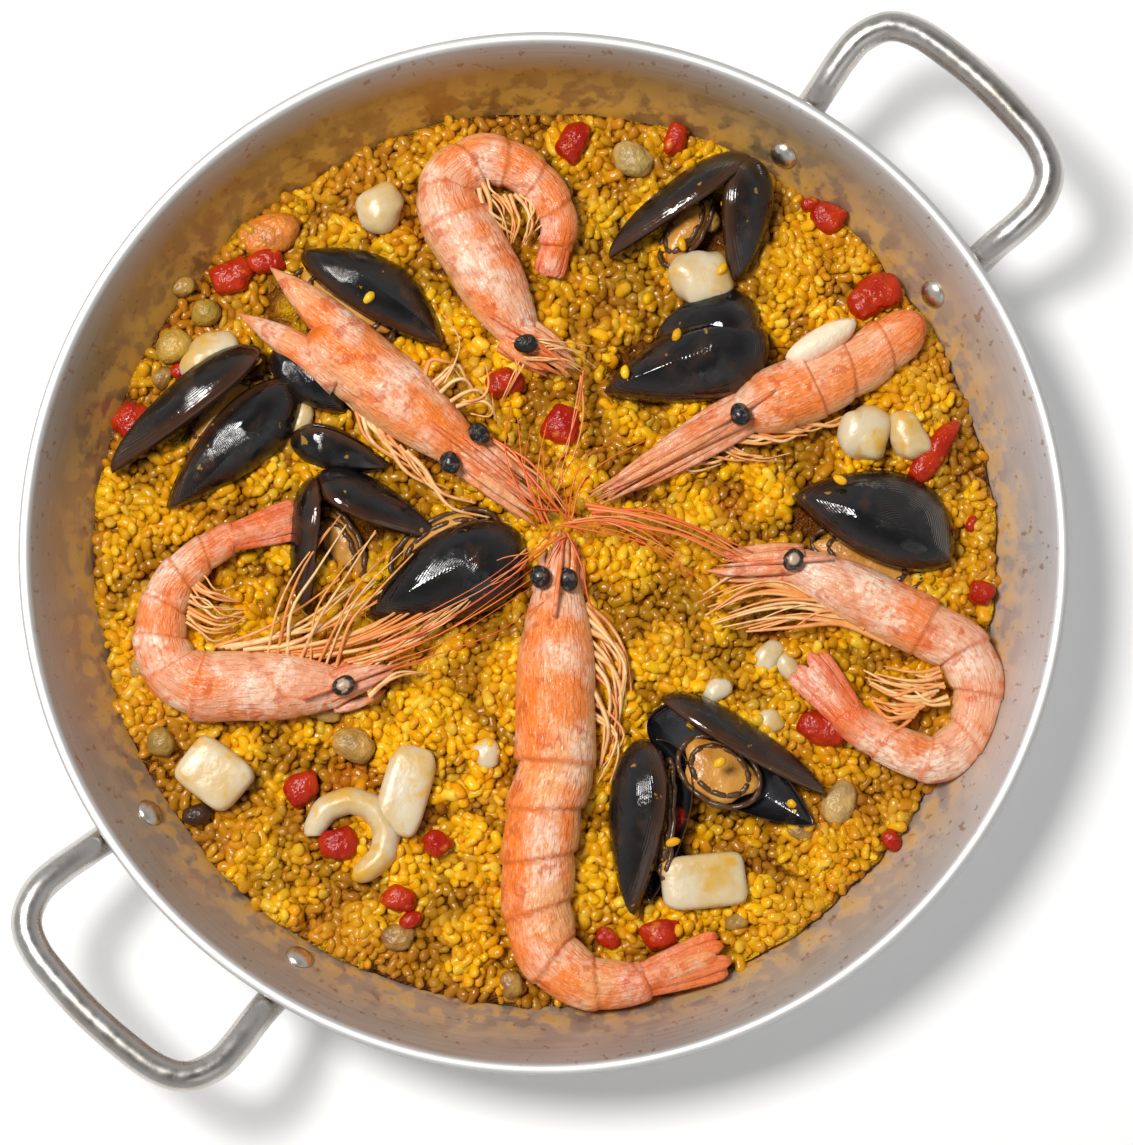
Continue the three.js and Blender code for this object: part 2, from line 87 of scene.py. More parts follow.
world = bpy.data.worlds.new("studio")
world.use_nodes = True
bpy.context.scene.world = world
bpy.context.scene.view_settings.view_transform = "Standard"


def node(tree, kind, inputs=None, **settings):
    """A new shader or geometry node; an input is given a value, or a socket to link from."""
    made = tree.nodes.new(kind)
    for key, value in settings.items():
        setattr(made, key, value)
    for key, value in (inputs or {}).items():
        if isinstance(value, bpy.types.NodeSocket):
            tree.links.new(value, made.inputs[key])
        else:
            made.inputs[key].default_value = value
    return made


def surface(name, **values):
    """A new material and its Principled shader, with the given uniform values."""
    material = bpy.data.materials.new(name)
    material.use_nodes = True
    shader = material.node_tree.nodes["Principled BSDF"]
    for key, value in values.items():
        shader.inputs[key.replace("_", " ")].default_value = value
    return material, material.node_tree, shader


def ramp(tree, value, stops):
    """A color for each value, from (place, color) stops."""
    made = node(tree, "ShaderNodeValToRGB", {"Fac": value})
    while len(made.color_ramp.elements) < len(stops):
        made.color_ramp.elements.new(0.5)
    for element, (place, color) in zip(made.color_ramp.elements, stops):
        element.position = place
        element.color = (*color, 1)
    return made.outputs["Color"]


def blend(tree, share, first, second):
    made = node(tree, "ShaderNodeMix", data_type="RGBA")
    for key, value in ((0, share), (6, first), (7, second)):
        if isinstance(value, bpy.types.NodeSocket):
            tree.links.new(value, made.inputs[key])
        elif key:
            made.inputs[key].default_value = (*value, 1)
        else:
            made.inputs[key].default_value = value
    return made.outputs[2]


sky = world.node_tree
sky_height = node(sky, "ShaderNodeSeparateXYZ", {
    "Vector": node(sky, "ShaderNodeTexCoord").outputs["Generated"]}).outputs["Z"]
sky.links.new(ramp(sky, sky_height, [(0, (0.62, 0.62, 0.62)), (0.45, (0.6, 0.6, 0.6)),
                                     (0.8, (0.3, 0.3, 0.3)), (1, (0.12, 0.12, 0.12))]),
              sky.nodes["Background"].inputs["Color"])
sky.nodes["Background"].inputs["Strength"].default_value = 0.8


def attribute(tree, name):
    return node(tree, "ShaderNodeAttribute", attribute_name=name).outputs["Fac"]


def patches_group():
    """A shared effect: soft-edged patches, 0 outside and 1 inside, from noise at one scale."""
    tree = bpy.data.node_groups.new("patches", "ShaderNodeTree")
    inputs = (("Vector", "Vector", None), ("Scale", "Float", 100), ("From", "Float", 0.5),
              ("To", "Float", 0.6), ("Detail", "Float", 3))
    for label, kind, value in inputs:
        socket = tree.interface.new_socket(label, in_out="INPUT", socket_type=f"NodeSocket{kind}")
        if value is not None:
            socket.default_value = value
    tree.interface.new_socket("Mask", in_out="OUTPUT", socket_type="NodeSocketFloat")
    given = tree.nodes.new("NodeGroupInput").outputs
    noise = node(tree, "ShaderNodeTexNoise", {
        "Vector": given["Vector"], "Scale": given["Scale"], "Detail": given["Detail"]})
    mask = node(tree, "ShaderNodeMapRange", {
        "Value": noise.outputs["Fac"], "From Min": given["From"], "From Max": given["To"]})
    out = tree.nodes.new("NodeGroupOutput")
    tree.links.new(mask.outputs["Result"], out.inputs["Mask"])
    return tree


PATCHES = patches_group()


def patches(tree, scale, low, high, vector=None, detail=3.0):
    if vector is None:
        vector = node(tree, "ShaderNodeTexCoord").outputs["Object"]
    made = node(tree, "ShaderNodeGroup", node_tree=PATCHES)
    tree.links.new(vector, made.inputs["Vector"])
    for key, value in (("Scale", scale), ("From", low), ("To", high), ("Detail", detail)):
        made.inputs[key].default_value = value
    return made.outputs["Mask"]


def bumped(tree, shader, height, distance, strength=1.0):
    made = node(tree, "ShaderNodeBump", {
        "Height": height, "Distance": distance, "Strength": strength})
    tree.links.new(made.outputs["Normal"], shader.inputs["Normal"])


def math_node(tree, operation, first, second=0.0):
    return node(tree, "ShaderNodeMath", {0: first, 1: second}, operation=operation).outputs[0]


def between(tree, value, low, high, first=0.0, last=1.0):
    """The value's place between low and high, as a number from first to last."""
    made = node(tree, "ShaderNodeMapRange", {
        "Value": value, "From Min": low, "From Max": high, "To Min": first, "To Max": last})
    return made.outputs["Result"]


def painted(tree, shader, color):
    tree.links.new(color, shader.inputs["Base Color"])


def stained(tree, base, mask, share, color):
    """The base colour with a share of another one mixed in where the mask is 1."""
    return blend(tree, math_node(tree, "MULTIPLY", mask, share), base, color)


def show(name, points, faces, material, slot, nodes=(), **attributes):
    """A smooth mesh piece facing outwards, with a value per point for each named attribute."""
    mesh = bpy.data.meshes.new(name)
    mesh.from_pydata([tuple(p) for p in points], [], [tuple(int(i) for i in f) for f in faces])
    for label, values in attributes.items():
        layer = mesh.attributes.new(label, "FLOAT", "POINT")
        layer.data.foreach_set("value", np.asarray(values, np.float32))
    form = bmesh.new()
    form.from_mesh(mesh)
    bmesh.ops.recalc_face_normals(form, faces=form.faces)
    form.to_mesh(mesh)
    form.free()
    mesh.polygons.foreach_set("use_smooth", np.ones(len(mesh.polygons), bool))
    mesh.materials.append(material)
    piece = bpy.data.objects.new(name, mesh)
    bpy.context.scene.collection.objects.link(piece)
    if slot is not None:
        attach(piece, "root")
    if nodes:
        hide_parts(*nodes)
    return piece


def rings_mesh(rings, closed_ends=True):
    """Points and faces of a tube through equal rings, its ends closed by a middle point."""
    rings = np.asarray(rings, float)
    steps, sides = rings.shape[:2]
    i = np.arange(steps - 1)[:, None] * sides
    j = np.arange(sides)[None, :]
    k = (j + 1) % sides
    faces = np.stack([i + j, i + k, i + k + sides, i + j + sides], -1).reshape(-1, 4).tolist()
    points = rings.reshape(-1, 3)
    if closed_ends:
        points = np.vstack([points, rings[0].mean(0), rings[-1].mean(0)])
        first, last = steps * sides, steps * sides + 1
        top = (steps - 1) * sides
        for s in range(sides):
            t = (s + 1) % sides
            faces.append((first, t, s))
            faces.append((last, top + s, top + t))
    return points, faces


floor_material, _, _ = surface("floor", Base_Color=(0.84, 0.84, 0.84, 1), Roughness=0.9,
                               Emission_Color=(1, 1, 1, 1), Emission_Strength=0.13)
floor = show("floor", [(-12, -12, 0), (12, -12, 0), (12, 12, 0), (-12, 12, 0)], [(0, 1, 2, 3)],
             floor_material, None)


# ---------------------------------------------------------------- pan
# The pan is one spun sheet of aluminium: flat floor, rolled corner, leaning wall and an open
# rim worn bright. One side is painted paler, as painted light, and the opposite one darker, as
# painted shade. Cooking has left yellow and brown splashes just above the rice, and the far side
# of the wall is painted darker and browner below the rim, as painted shade.
RIM_RADIUS = 180
PAN_DEPTH = 50
SHEET = 3
WALL_LEAN = math.radians(35)
CORNER_RADIUS = 12
CORNER_MIDDLE = 138.7
PAN_SIDES = 192


def wall_radius(z, inset):
    return RIM_RADIUS - (PAN_DEPTH - z) * math.tan(WALL_LEAN) - inset / math.cos(WALL_LEAN)


def corner(radius):
    """The rounded corner from the floor up to the wall, at one radius from its middle."""
    bend = [math.radians(-90 + 55 * t / 6) for t in range(7)]
    return [(CORNER_MIDDLE + radius * math.cos(a), CORNER_RADIUS + radius * math.sin(a)) for a in bend]


def pan_profile():
    """(radius, height, inside) from the middle underneath, over the rim, to the middle above."""
    outer = [(r, 0) for r in (0.5, 70, 120)] + corner(CORNER_RADIUS)
    outer += [(wall_radius(z, 0), z) for z in (14, 24, 34, 44, 48.5)]
    rim = [(RIM_RADIUS - 0.2, PAN_DEPTH - 0.5), (RIM_RADIUS - 0.9, PAN_DEPTH),
           (wall_radius(PAN_DEPTH, SHEET) + 0.9, PAN_DEPTH),
           (wall_radius(PAN_DEPTH - 0.5, SHEET) + 0.2, PAN_DEPTH - 0.5)]
    inner = [(wall_radius(z, SHEET), z) for z in (48.5, 44, 34, 24, 14)]
    inner += corner(CORNER_RADIUS - SHEET)[::-1] + [(r, SHEET) for r in (120, 70, 0.5)]
    return [(*p, 0) for p in outer + rim[:2]] + [(*p, 1) for p in rim[2:] + inner]


def revolved(profile, sides):
    turns = 2 * np.pi * np.arange(sides) / sides
    rings = [np.stack([r * np.cos(turns), r * np.sin(turns), np.full(sides, z)], -1)
             for r, z in profile]
    return rings_mesh(np.array(rings) / 1000)


def spun_metal(name, tint):
    material, tree, shader = surface(name, Metallic=0.8, Roughness=0.5)
    place = node(tree, "ShaderNodeTexCoord").outputs["Object"]
    parts = node(tree, "ShaderNodeSeparateXYZ", {"Vector": place}).outputs
    flat = node(tree, "ShaderNodeCombineXYZ", {"X": parts["X"], "Y": parts["Y"]}).outputs["Vector"]
    radius = node(tree, "ShaderNodeVectorMath", {0: flat}, operation="LENGTH").outputs["Value"]
    way = node(tree, "ShaderNodeVectorMath", {0: flat}, operation="NORMALIZE").outputs["Vector"]
    way = node(tree, "ShaderNodeSeparateXYZ", {"Vector": way}).outputs
    up = math_node(tree, "MULTIPLY", math_node(tree, "ADD", radius, parts["Z"]), 900.0)
    along = node(tree, "ShaderNodeCombineXYZ", {
        "X": math_node(tree, "MULTIPLY", way["X"], 5.0),
        "Y": math_node(tree, "MULTIPLY", way["Y"], 5.0), "Z": up}).outputs["Vector"]
    brushing = node(tree, "ShaderNodeTexNoise", {"Vector": along, "Scale": 1.0, "Detail": 4.0})
    brushing = brushing.outputs["Fac"]
    cloud = patches(tree, 22.0, 0.35, 0.7)
    metal = blend(tree, brushing, tuple(c * 0.74 for c in tint), tuple(min(c * 1.26, 1) for c in tint))
    metal = stained(tree, metal, cloud, 0.35, (tint[0] * 0.8, tint[1] * 0.72, tint[2] * 0.62))
    # Painted light and shade: one side of the pan is painted paler and the opposite side darker and browner.
    for way, share, color in (((0.69, -0.72, 0), 0.62, (0.9, 0.92, 0.96)),
                              ((-0.69, 0.72, 0), 0.35, (0.28, 0.21, 0.14))):
        sideways = node(tree, "ShaderNodeVectorMath", {0: place, 1: way}, operation="DOT_PRODUCT")
        reach = between(tree, sideways.outputs["Value"], 0.03, 0.17, 0.0, share)
        metal = blend(tree, reach, metal, color)
    rough = between(tree, brushing, 0.0, 1.0, 0.4, 0.6)
    tree.links.new(rough, shader.inputs["Roughness"])
    return material, tree, shader, metal, brushing, parts["Z"]


pan_metal, tree, shader, metal, brushing, height = spun_metal("pan_metal", (0.52, 0.5, 0.475))
near_rice = between(tree, height, 0.043, 0.027)
near_rice = math_node(tree, "MULTIPLY", near_rice, attribute(tree, "inside"))
splash = math_node(tree, "MULTIPLY", near_rice, patches(tree, 150.0, 0.45, 0.55, detail=6.0))
brown = math_node(tree, "MULTIPLY", math_node(tree, "POWER", near_rice, 1.6),
                  patches(tree, 85.0, 0.4, 0.66, detail=10.0))
speck = math_node(tree, "MULTIPLY", attribute(tree, "inside"), patches(tree, 330.0, 0.63, 0.68))
warm = math_node(tree, "MULTIPLY", math_node(tree, "POWER", near_rice, 0.6), 0.34)
metal = blend(tree, warm, metal, (0.5, 0.3, 0.12))
place = node(tree, "ShaderNodeTexCoord").outputs["Object"]
# Painted shade: the inside of the wall on the far side is painted darker and browner below the rim.
away = node(tree, "ShaderNodeVectorMath", {0: place, 1: (0.48, 0.88, 0)}, operation="DOT_PRODUCT")
far_wall_shade = between(tree, away.outputs["Value"], -0.02, 0.16, 0.0, 0.95)
low = between(tree, height, 0.0495, 0.039)
far_wall_shade = math_node(tree, "MULTIPLY", math_node(tree, "MULTIPLY", far_wall_shade, low), attribute(tree, "inside"))
metal = blend(tree, far_wall_shade, metal, (0.4, 0.22, 0.035))
metal = stained(tree, metal, brown, 0.6, (0.36, 0.17, 0.03))
metal = stained(tree, metal, splash, 0.7, (0.55, 0.28, 0.03))
metal = stained(tree, metal, speck, 0.55, (0.32, 0.13, 0.03))
edge = between(tree, height, 0.0488, 0.0499)
metal = blend(tree, edge, metal, (0.68, 0.67, 0.66))
painted(tree, shader, metal)
clean = math_node(tree, "SUBTRACT", 0.8, math_node(tree, "MULTIPLY", brown, 0.7))
clean = math_node(tree, "SUBTRACT", clean, math_node(tree, "MULTIPLY", splash, 0.6))
clean = node(tree, "ShaderNodeClamp", {"Value": clean}).outputs["Result"]
tree.links.new(clean, shader.inputs["Metallic"])
bumped(tree, shader, brushing, 0.00006, 0.6)

profile = pan_profile()
points, faces = revolved([(r, z) for r, z, _ in profile], PAN_SIDES)
inside = np.repeat([side for _, _, side in profile], PAN_SIDES)
show("pan_shell", points, faces, pan_metal, "pan_metal", ("pan",),
     inside=np.append(inside, [0, 1]))


# ---------------------------------------------------------------- handles
# Each handle is one thick steel rod bent to a rounded loop. Its ends are pressed flat and lie
# against the outside of the wall.
RIVET_TURN = math.radians(12.7)
RIVET_HEIGHT = 31.5
ROD = 5.25


def spline(points, count):
    """Points at equal steps along a smooth curve through the given ones, any dimension."""
    p = np.asarray(points, float)
    p = np.vstack([2 * p[0] - p[1], p, 2 * p[-1] - p[-2]])
    t = np.linspace(0, 1, 24, endpoint=False)[:, None]
    fine = []
    for a, b, c, d in zip(p[:-3], p[1:-2], p[2:-1], p[3:]):
        fine.append(0.5 * (2 * b + (c - a) * t + (2 * a - 5 * b + 4 * c - d) * t**2
                           + (3 * b - a - 3 * c + d) * t**3))
    fine = np.vstack([*fine, p[-2:-1]])
    run = np.append(0, np.cumsum(np.linalg.norm(np.diff(fine[:, :3], axis=0), axis=1)))
    at = np.linspace(0, run[-1], count)
    return np.stack([np.interp(at, run, fine[:, k]) for k in range(fine.shape[1])], -1)


def tube(stations, sides, upright):
    """Rings of a swept oval; each station is x, y, z, half width, half thickness."""
    stations = np.asarray(stations, float)
    spine = stations[:, :3]
    ahead = np.gradient(spine, axis=0)
    ahead /= np.linalg.norm(ahead, axis=1)[:, None]
    normal = np.asarray(upright, float)
    turns = 2 * np.pi * np.arange(sides) / sides
    rings = []
    for place, way, (wide, thick) in zip(spine, ahead, stations[:, 3:5]):
        normal = normal - way * normal.dot(way)
        normal = normal / np.linalg.norm(normal)
        side = np.cross(way, normal)
        rings.append(place + wide * np.cos(turns)[:, None] * side
                     + thick * np.sin(turns)[:, None] * normal)
    return np.array(rings)


def on_wall(out, along, up, turn):
    """A point given from the rivet: away from the wall, sideways and up the wall, in mm."""
    lean = WALL_LEAN
    x = wall_radius(RIVET_HEIGHT, SHEET) + out * math.cos(lean) + up * math.sin(lean)
    z = RIVET_HEIGHT - out * math.sin(lean) + up * math.cos(lean)
    return (x * math.cos(turn) - along * math.sin(turn),
            x * math.sin(turn) + along * math.cos(turn), z)


half = [(*on_wall(4.9, 0, up, RIVET_TURN), wide, thick) for up, wide, thick in (
    (-10, 3.5, 0.9), (-8, 6.6, 1.4), (-3, 7.5, 1.6), (3, 7.4, 1.9))]
half += [(172.5, 38.8, 36.2, 6.2, 4.2), (176.5, 39.7, 41.6, 5.4, 5.2)]
half += [(*place, ROD, ROD) for place in (
    (184, 40.6, 48), (193.5, 42, 52.4), (203, 42, 55.4), (212.5, 37.5, 57.2), (217.5, 28, 57.9),
    (219.4, 14, 58.2))]
route = half + [(220, 0, 58.3, ROD, ROD)] + [(x, -y, *rest) for x, y, *rest in reversed(half)]

handle_steel, tree, shader = surface(
    "handle_steel", Base_Color=(0.62, 0.59, 0.56, 1), Metallic=1.0, Roughness=0.27)
rub = patches(tree, 55.0, 0.35, 0.7, detail=5.0)
painted(tree, shader, ramp(tree, rub, [(0, (0.64, 0.62, 0.6)), (1, (0.5, 0.46, 0.41))]))
worn = between(tree, patches(tree, 240.0, 0.3, 0.75, detail=4.0), 0.0, 1.0, 0.2, 0.38)
tree.links.new(worn, shader.inputs["Roughness"])
bumped(tree, shader, patches(tree, 40.0, 0.2, 0.8, detail=1.0), 0.0001, 0.3)

rings = tube(spline(route, 150), 28, (0.8, 0, -0.6)) / 1000
points, faces = rings_mesh(rings)
for i, sign in enumerate((1, -1)):
    show(f"handle_rod_{i + 1}", points * (sign, sign, 1), faces, handle_steel, "handle_steel",
         (f"handle_{i + 1}",))


# ---------------------------------------------------------------- rivets
# Four domed aluminium rivets fix the handle ends, two to a handle: a low head shows on the
# inside of the wall, and a flatter one outside.
RIVET = [(0.3, -2.45), (2, -2.3), (3.7, -1.7), (4.9, -0.7), (5.2, 0.1), (3, 0.15), (3, 6.3),
         (4.8, 6.4), (5, 7), (3.8, 8), (2, 8.35), (0.3, 8.4)]

rivet_metal, tree, shader = surface(
    "rivet_metal", Base_Color=(0.7, 0.66, 0.6, 1), Metallic=1.0, Roughness=0.3)
bumped(tree, shader, patches(tree, 700.0, 0.3, 0.7), 0.0001, 0.5)

rings = []
for r, out in RIVET:
    turns = 2 * np.pi * np.arange(32) / 32
    rings.append([(out, r * math.cos(t), r * math.sin(t)) for t in turns])
local, faces = rings_mesh(rings)
for i, turn in enumerate((RIVET_TURN, -RIVET_TURN, math.pi + RIVET_TURN, math.pi - RIVET_TURN)):
    points = [Vector(on_wall(*p, turn)) / 1000 for p in local]
    show(f"rivet_head_{i + 1}", points, faces, rivet_metal, "rivet_metal", (f"rivet_{i + 1}",))


# ---------------------------------------------------------------- rice
# Short plump grains, cooked sticky and golden with saffron, lie in small heaps over the pan,
# browner and oilier near the wall. A core of the same rice fills the space below the grains.
FOOD_TURN = math.radians(-46.4)
RICE_LEVEL = 25.5
RICE_EDGE = 157.5
WALL_GAP = 0.4


def laid(points):
    """From the plan of the food, in mm and turned from the handles' line, to metres."""
    p = np.atleast_2d(np.asarray(points, float))
    c, s = math.cos(FOOD_TURN), math.sin(FOOD_TURN)
    turned = [p[:, 0] * c - p[:, 1] * s, p[:, 0] * s + p[:, 1] * c, p[:, 2]]
    return np.stack(turned, -1) / 1000


def plan_of(points):
    """From metres back to the plan of the food, in mm."""
    c, s = math.cos(FOOD_TURN), math.sin(FOOD_TURN)
    return np.stack([points[:, 0] * c + points[:, 1] * s, points[:, 1] * c - points[:, 0] * s], -1) * 1000


def laid_mesh(rings):
    """Points and faces of a closed tube through rings that are given in the plan of the food."""
    rings = np.asarray(rings, float)
    return rings_mesh(laid(rings.reshape(-1, 3)).reshape(rings.shape))


def within_wall(points):
    """Points in metres, pulled in where they would reach into the wall or the floor of the pan."""
    p = np.asarray(points, float) * 1000
    reach = np.hypot(p[:, 0], p[:, 1])
    most = wall_radius(np.clip(p[:, 2], CORNER_RADIUS, 60), SHEET) - WALL_GAP
    p[:, :2] *= np.minimum(1, most / np.maximum(reach, 1))[:, None]
    p[:, 2] = np.maximum(p[:, 2], SHEET + 0.3)
    return p / 1000


def rice_height(x, y):
    turn = np.arctan2(y, x)
    heaps = np.sin(x / 13 + 1.1) * np.cos(y / 15) + 0.7 * np.sin((x + y) / 9 + 0.4)
    edge = 0.9 * np.sin(5 * turn) + 0.6 * np.sin(11 * turn + 1)
    return RICE_LEVEL + 0.9 * (heaps + edge * (np.hypot(x, y) / 158) ** 6)


def clumps(x, y):
    """Sticky clumps of several sizes and the valleys between them, in mm; the rice is painted darker in the
    valleys, for sauce and for shade.
    """
    rng = np.random.default_rng(12)
    height = np.full(x.shape, -2.4)
    for size, count, rise in ((12, 150, 2.6), (7.5, 330, 2.2), (4.5, 500, 1.4)):
        reach = 160 * np.sqrt(rng.uniform(0, 1, count))
        turn = rng.uniform(0, 2 * np.pi, count)
        for cx, cy, wide, tall in zip(reach * np.cos(turn), reach * np.sin(turn),
                                      size * rng.uniform(0.6, 1.1, count),
                                      rise * rng.uniform(-0.4, 1, count)):
            away = ((x - cx) ** 2 + (y - cy) ** 2) / wide**2
            height = np.maximum(height, tall - 3.6 * away)
    return height


TOPPINGS = ("prawn", "mussel", "squid", "pepper", "bean")
toppings = [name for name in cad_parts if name.split("_")[0] in TOPPINGS]
cover_points, cover_faces = [], []
for name in toppings:
    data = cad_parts[name].data
    cover_faces += [tuple(len(cover_points) + v for v in f.vertices) for f in data.polygons]
    cover_points += [v.co.copy() for v in data.vertices]
overhead = BVHTree.FromPolygons(cover_points, cover_faces)

radii = np.append(np.linspace(0.5, RICE_EDGE, 62), RICE_EDGE + 1.2)
sides = 360
turns = 2 * np.pi * np.arange(sides) / sides
x = radii[:, None] * np.cos(turns)
y = radii[:, None] * np.sin(turns)
clump = clumps(x, y)
z = rice_height(x, y) + clump - 0.1
z[-1] -= 2.5
top = np.stack([x, y, z], -1)
under = [np.stack([r * np.cos(turns), r * np.sin(turns), np.full(sides, h)], -1)
         for r, h in ((148, 12.5), (140, 5.5), (134, 3.6), (0.5, 3.6))]
rings = np.concatenate([top, under])
points, faces = laid_mesh(rings)
open_sky = np.zeros(len(points))
for i in range(len(radii) * sides):
    low = Vector(points[i]) + Vector((0, 0, -0.001))
    hit = overhead.ray_cast(low, Vector((0, 0, 1)), 0.05)[0]
    open_sky[i] = 1.0 if hit is None else 0.0
lit = open_sky[:len(radii) * sides].reshape(len(radii), sides)
near = np.maximum.reduce([lit, np.roll(lit, 1, 1), np.roll(lit, -1, 1),
                          np.vstack([lit[1:], lit[-1:]]), np.vstack([lit[:1], lit[:-1]])])
near[radii > RICE_EDGE - 1.3] = 0
open_sky[:near.size] = near.ravel()

rice_core, tree, shader = surface("rice_core", Roughness=0.2, Specular_IOR_Level=0.32)
# Painted shade, partly sauce: the bed is painted darker the lower it lies between the clumps.
bed = ramp(tree, attribute(tree, "rise"), [
    (0, (0.14, 0.036, 0.001)), (0.3, (0.38, 0.15, 0.002)), (0.55, (0.68, 0.34, 0.002)),
    (1, (0.82, 0.46, 0.003))])
bed = stained(tree, bed, attribute(tree, "sauce"), 0.8, (0.16, 0.04, 0.003))
painted(tree, shader, bed)
bumped(tree, shader, patches(tree, 380.0, 0.3, 0.7), 0.002)
# How high each point lies between the clumps, 0 to 1; low rice is painted dark as sauce and painted shade.
rise = np.zeros(len(points))
rise[:clump.size] = np.clip((clump.ravel() + 2.4) / 4.4, 0, 1)
SAUCY = [(-100, 106, 26), (-142, 38, 20), (-128, 86, 24), (-66, 132, 18), (-88, 58, 22), (-104, 10, 14)]
sauce = np.zeros(len(points))
for cx, cy, wide in SAUCY:
    at = laid((cx, cy, 0))[0]
    away = np.hypot(points[:, 0] - at[0], points[:, 1] - at[1]) * 1000 / wide
    sauce = np.maximum(sauce, np.exp(-(away**2)))
core = show("rice_core", within_wall(points), faces, rice_core, "rice", ("rice",),
            open_sky=open_sky, rise=rise, sauce=sauce)


def grain_mesh(name, seed, size, dent=0.06):
    """A plump grain: a ball with squared sides, bent a little, with few faces."""
    rng = np.random.default_rng(seed)
    rows, sides = 5, 8
    bend, flat = rng.uniform(-0.12, 0.12), rng.uniform(0.86, 1)
    rings = []
    for r in range(1, rows):
        rise = -math.pi / 2 + math.pi * r / rows
        row = []
        for s in range(sides):
            turn = 2 * math.pi * (s + 0.5 * (r % 2)) / sides
            swell = 1 + dent * math.sin(2 * turn + seed) + rng.uniform(-dent, dent) * 0.5
            long = math.copysign(abs(math.sin(rise)) ** 0.85, math.sin(rise))
            row.append((size[0] * long, size[1] * swell * math.cos(rise) ** 0.8 * math.cos(turn)
                        + bend * size[0] * long * long,
                        size[2] * flat * swell * math.cos(rise) ** 0.8 * math.sin(turn)))
        rings.append(row)
    points, faces = rings_mesh(rings)
    points[-2] = (-size[0], bend * size[0], 0)
    points[-1] = (size[0], bend * size[0], 0)
    mesh = bpy.data.meshes.new(name)
    mesh.from_pydata([tuple(p / 1000) for p in points], [], faces)
    mesh.polygons.foreach_set("use_smooth", np.ones(len(mesh.polygons), bool))
    return bpy.data.objects.new(name, mesh)


def scatter_tree():
    """Geometry nodes: spread one of several kinds of small thing over a bed, no two too near."""
    tree = bpy.data.node_groups.new("scatter", "GeometryNodeTree")
    for label, kind in (("Bed", "Geometry"), ("Thing", "Object"), ("Material", "Material"),
                        ("Kind", "Int"), ("Kinds", "Int"), ("Seed", "Int"), ("Spacing", "Float"),
                        ("Lift", "Float"), ("Tilt", "Float"), ("Small", "Float"), ("Large", "Float")):
        tree.interface.new_socket(label, in_out="INPUT", socket_type=f"NodeSocket{kind}")
    tree.interface.new_socket("Things", in_out="OUTPUT", socket_type="NodeSocketGeometry")
    given = tree.nodes.new("NodeGroupInput").outputs
    cover = node(tree, "GeometryNodeInputNamedAttribute", {"Name": "open_sky"}, data_type="FLOAT")
    spread = node(tree, "GeometryNodeDistributePointsOnFaces", {
        "Mesh": given["Bed"], "Distance Min": given["Spacing"], "Density Max": 2e6,
        "Density Factor": cover.outputs["Attribute"], "Seed": given["Seed"]},
        distribute_method="POISSON")
    kinds = node(tree, "ShaderNodeMath", {0: given["Kinds"], 1: 1.0}, operation="SUBTRACT")
    pick = node(tree, "FunctionNodeRandomValue", {"Seed": 5}, data_type="INT")
    tree.links.new(kinds.outputs[0], pick.inputs[5])
    other = node(tree, "FunctionNodeCompare", data_type="INT", operation="NOT_EQUAL")
    tree.links.new(pick.outputs[2], other.inputs[2])
    tree.links.new(given["Kind"], other.inputs[3])
    left = node(tree, "GeometryNodeDeleteGeometry", {
        "Geometry": spread.outputs["Points"], "Selection": other.outputs["Result"]})
    lift = node(tree, "FunctionNodeRandomValue", {"Seed": 6}, data_type="FLOAT")
    lift.inputs[2].default_value = -0.6
    offset = node(tree, "ShaderNodeMath", {0: lift.outputs[1], 1: given["Lift"]}, operation="MULTIPLY")
    rise = node(tree, "ShaderNodeCombineXYZ", {"Z": offset.outputs[0]})
    moved = node(tree, "GeometryNodeSetPosition", {
        "Geometry": left.outputs["Geometry"], "Offset": rise.outputs["Vector"]})
    turn = node(tree, "FunctionNodeRandomValue", {"Seed": 7}, data_type="FLOAT_VECTOR")
    turn.inputs[0].default_value = (-1, -1, 0)
    turn.inputs[1].default_value = (1, 1, 1)
    reach = node(tree, "ShaderNodeCombineXYZ", {
        "X": given["Tilt"], "Y": given["Tilt"], "Z": 2 * math.pi})
    euler = node(tree, "ShaderNodeVectorMath", {
        0: turn.outputs[0], 1: reach.outputs["Vector"]}, operation="MULTIPLY")
    size = node(tree, "FunctionNodeRandomValue", {"Seed": 8}, data_type="FLOAT")
    tree.links.new(given["Small"], size.inputs[2])
    tree.links.new(given["Large"], size.inputs[3])
    thing = node(tree, "GeometryNodeObjectInfo", {"Object": given["Thing"]})
    placed = node(tree, "GeometryNodeInstanceOnPoints", {
        "Points": moved.outputs["Geometry"], "Instance": thing.outputs["Geometry"],
        "Rotation": euler.outputs["Vector"], "Scale": size.outputs[1]})
    tone = node(tree, "FunctionNodeRandomValue", {"Seed": 9}, data_type="FLOAT")
    marked = node(tree, "GeometryNodeStoreNamedAttribute", {
        "Geometry": placed.outputs["Instances"], "Name": "tone", "Value": tone.outputs[1]},
        data_type="FLOAT", domain="INSTANCE")
    real = node(tree, "GeometryNodeRealizeInstances", {"Geometry": marked.outputs["Geometry"]})
    done = node(tree, "GeometryNodeSetMaterial", {
        "Geometry": real.outputs["Geometry"], "Material": given["Material"]})
    out = tree.nodes.new("NodeGroupOutput")
    tree.links.new(done.outputs["Geometry"], out.inputs["Things"])
    return tree


SCATTER = scatter_tree()


def grown(name, source, tree, values):
    """The mesh that a node tree makes from a piece, as a finished piece of its own."""
    modifier = source.modifiers.new("make", "NODES")
    modifier.node_group = tree
    for item in tree.interface.items_tree:
        if item.in_out == "INPUT" and item.name in values:
            modifier[item.identifier] = values[item.name]
    bpy.context.view_layer.update()
    graph = bpy.context.evaluated_depsgraph_get()
    mesh = bpy.data.meshes.new_from_object(source.evaluated_get(graph))
    source.modifiers.remove(modifier)
    mesh.name = name
    piece = bpy.data.objects.new(name, mesh)
    bpy.context.scene.collection.objects.link(piece)
    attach(piece, "root")
    return piece


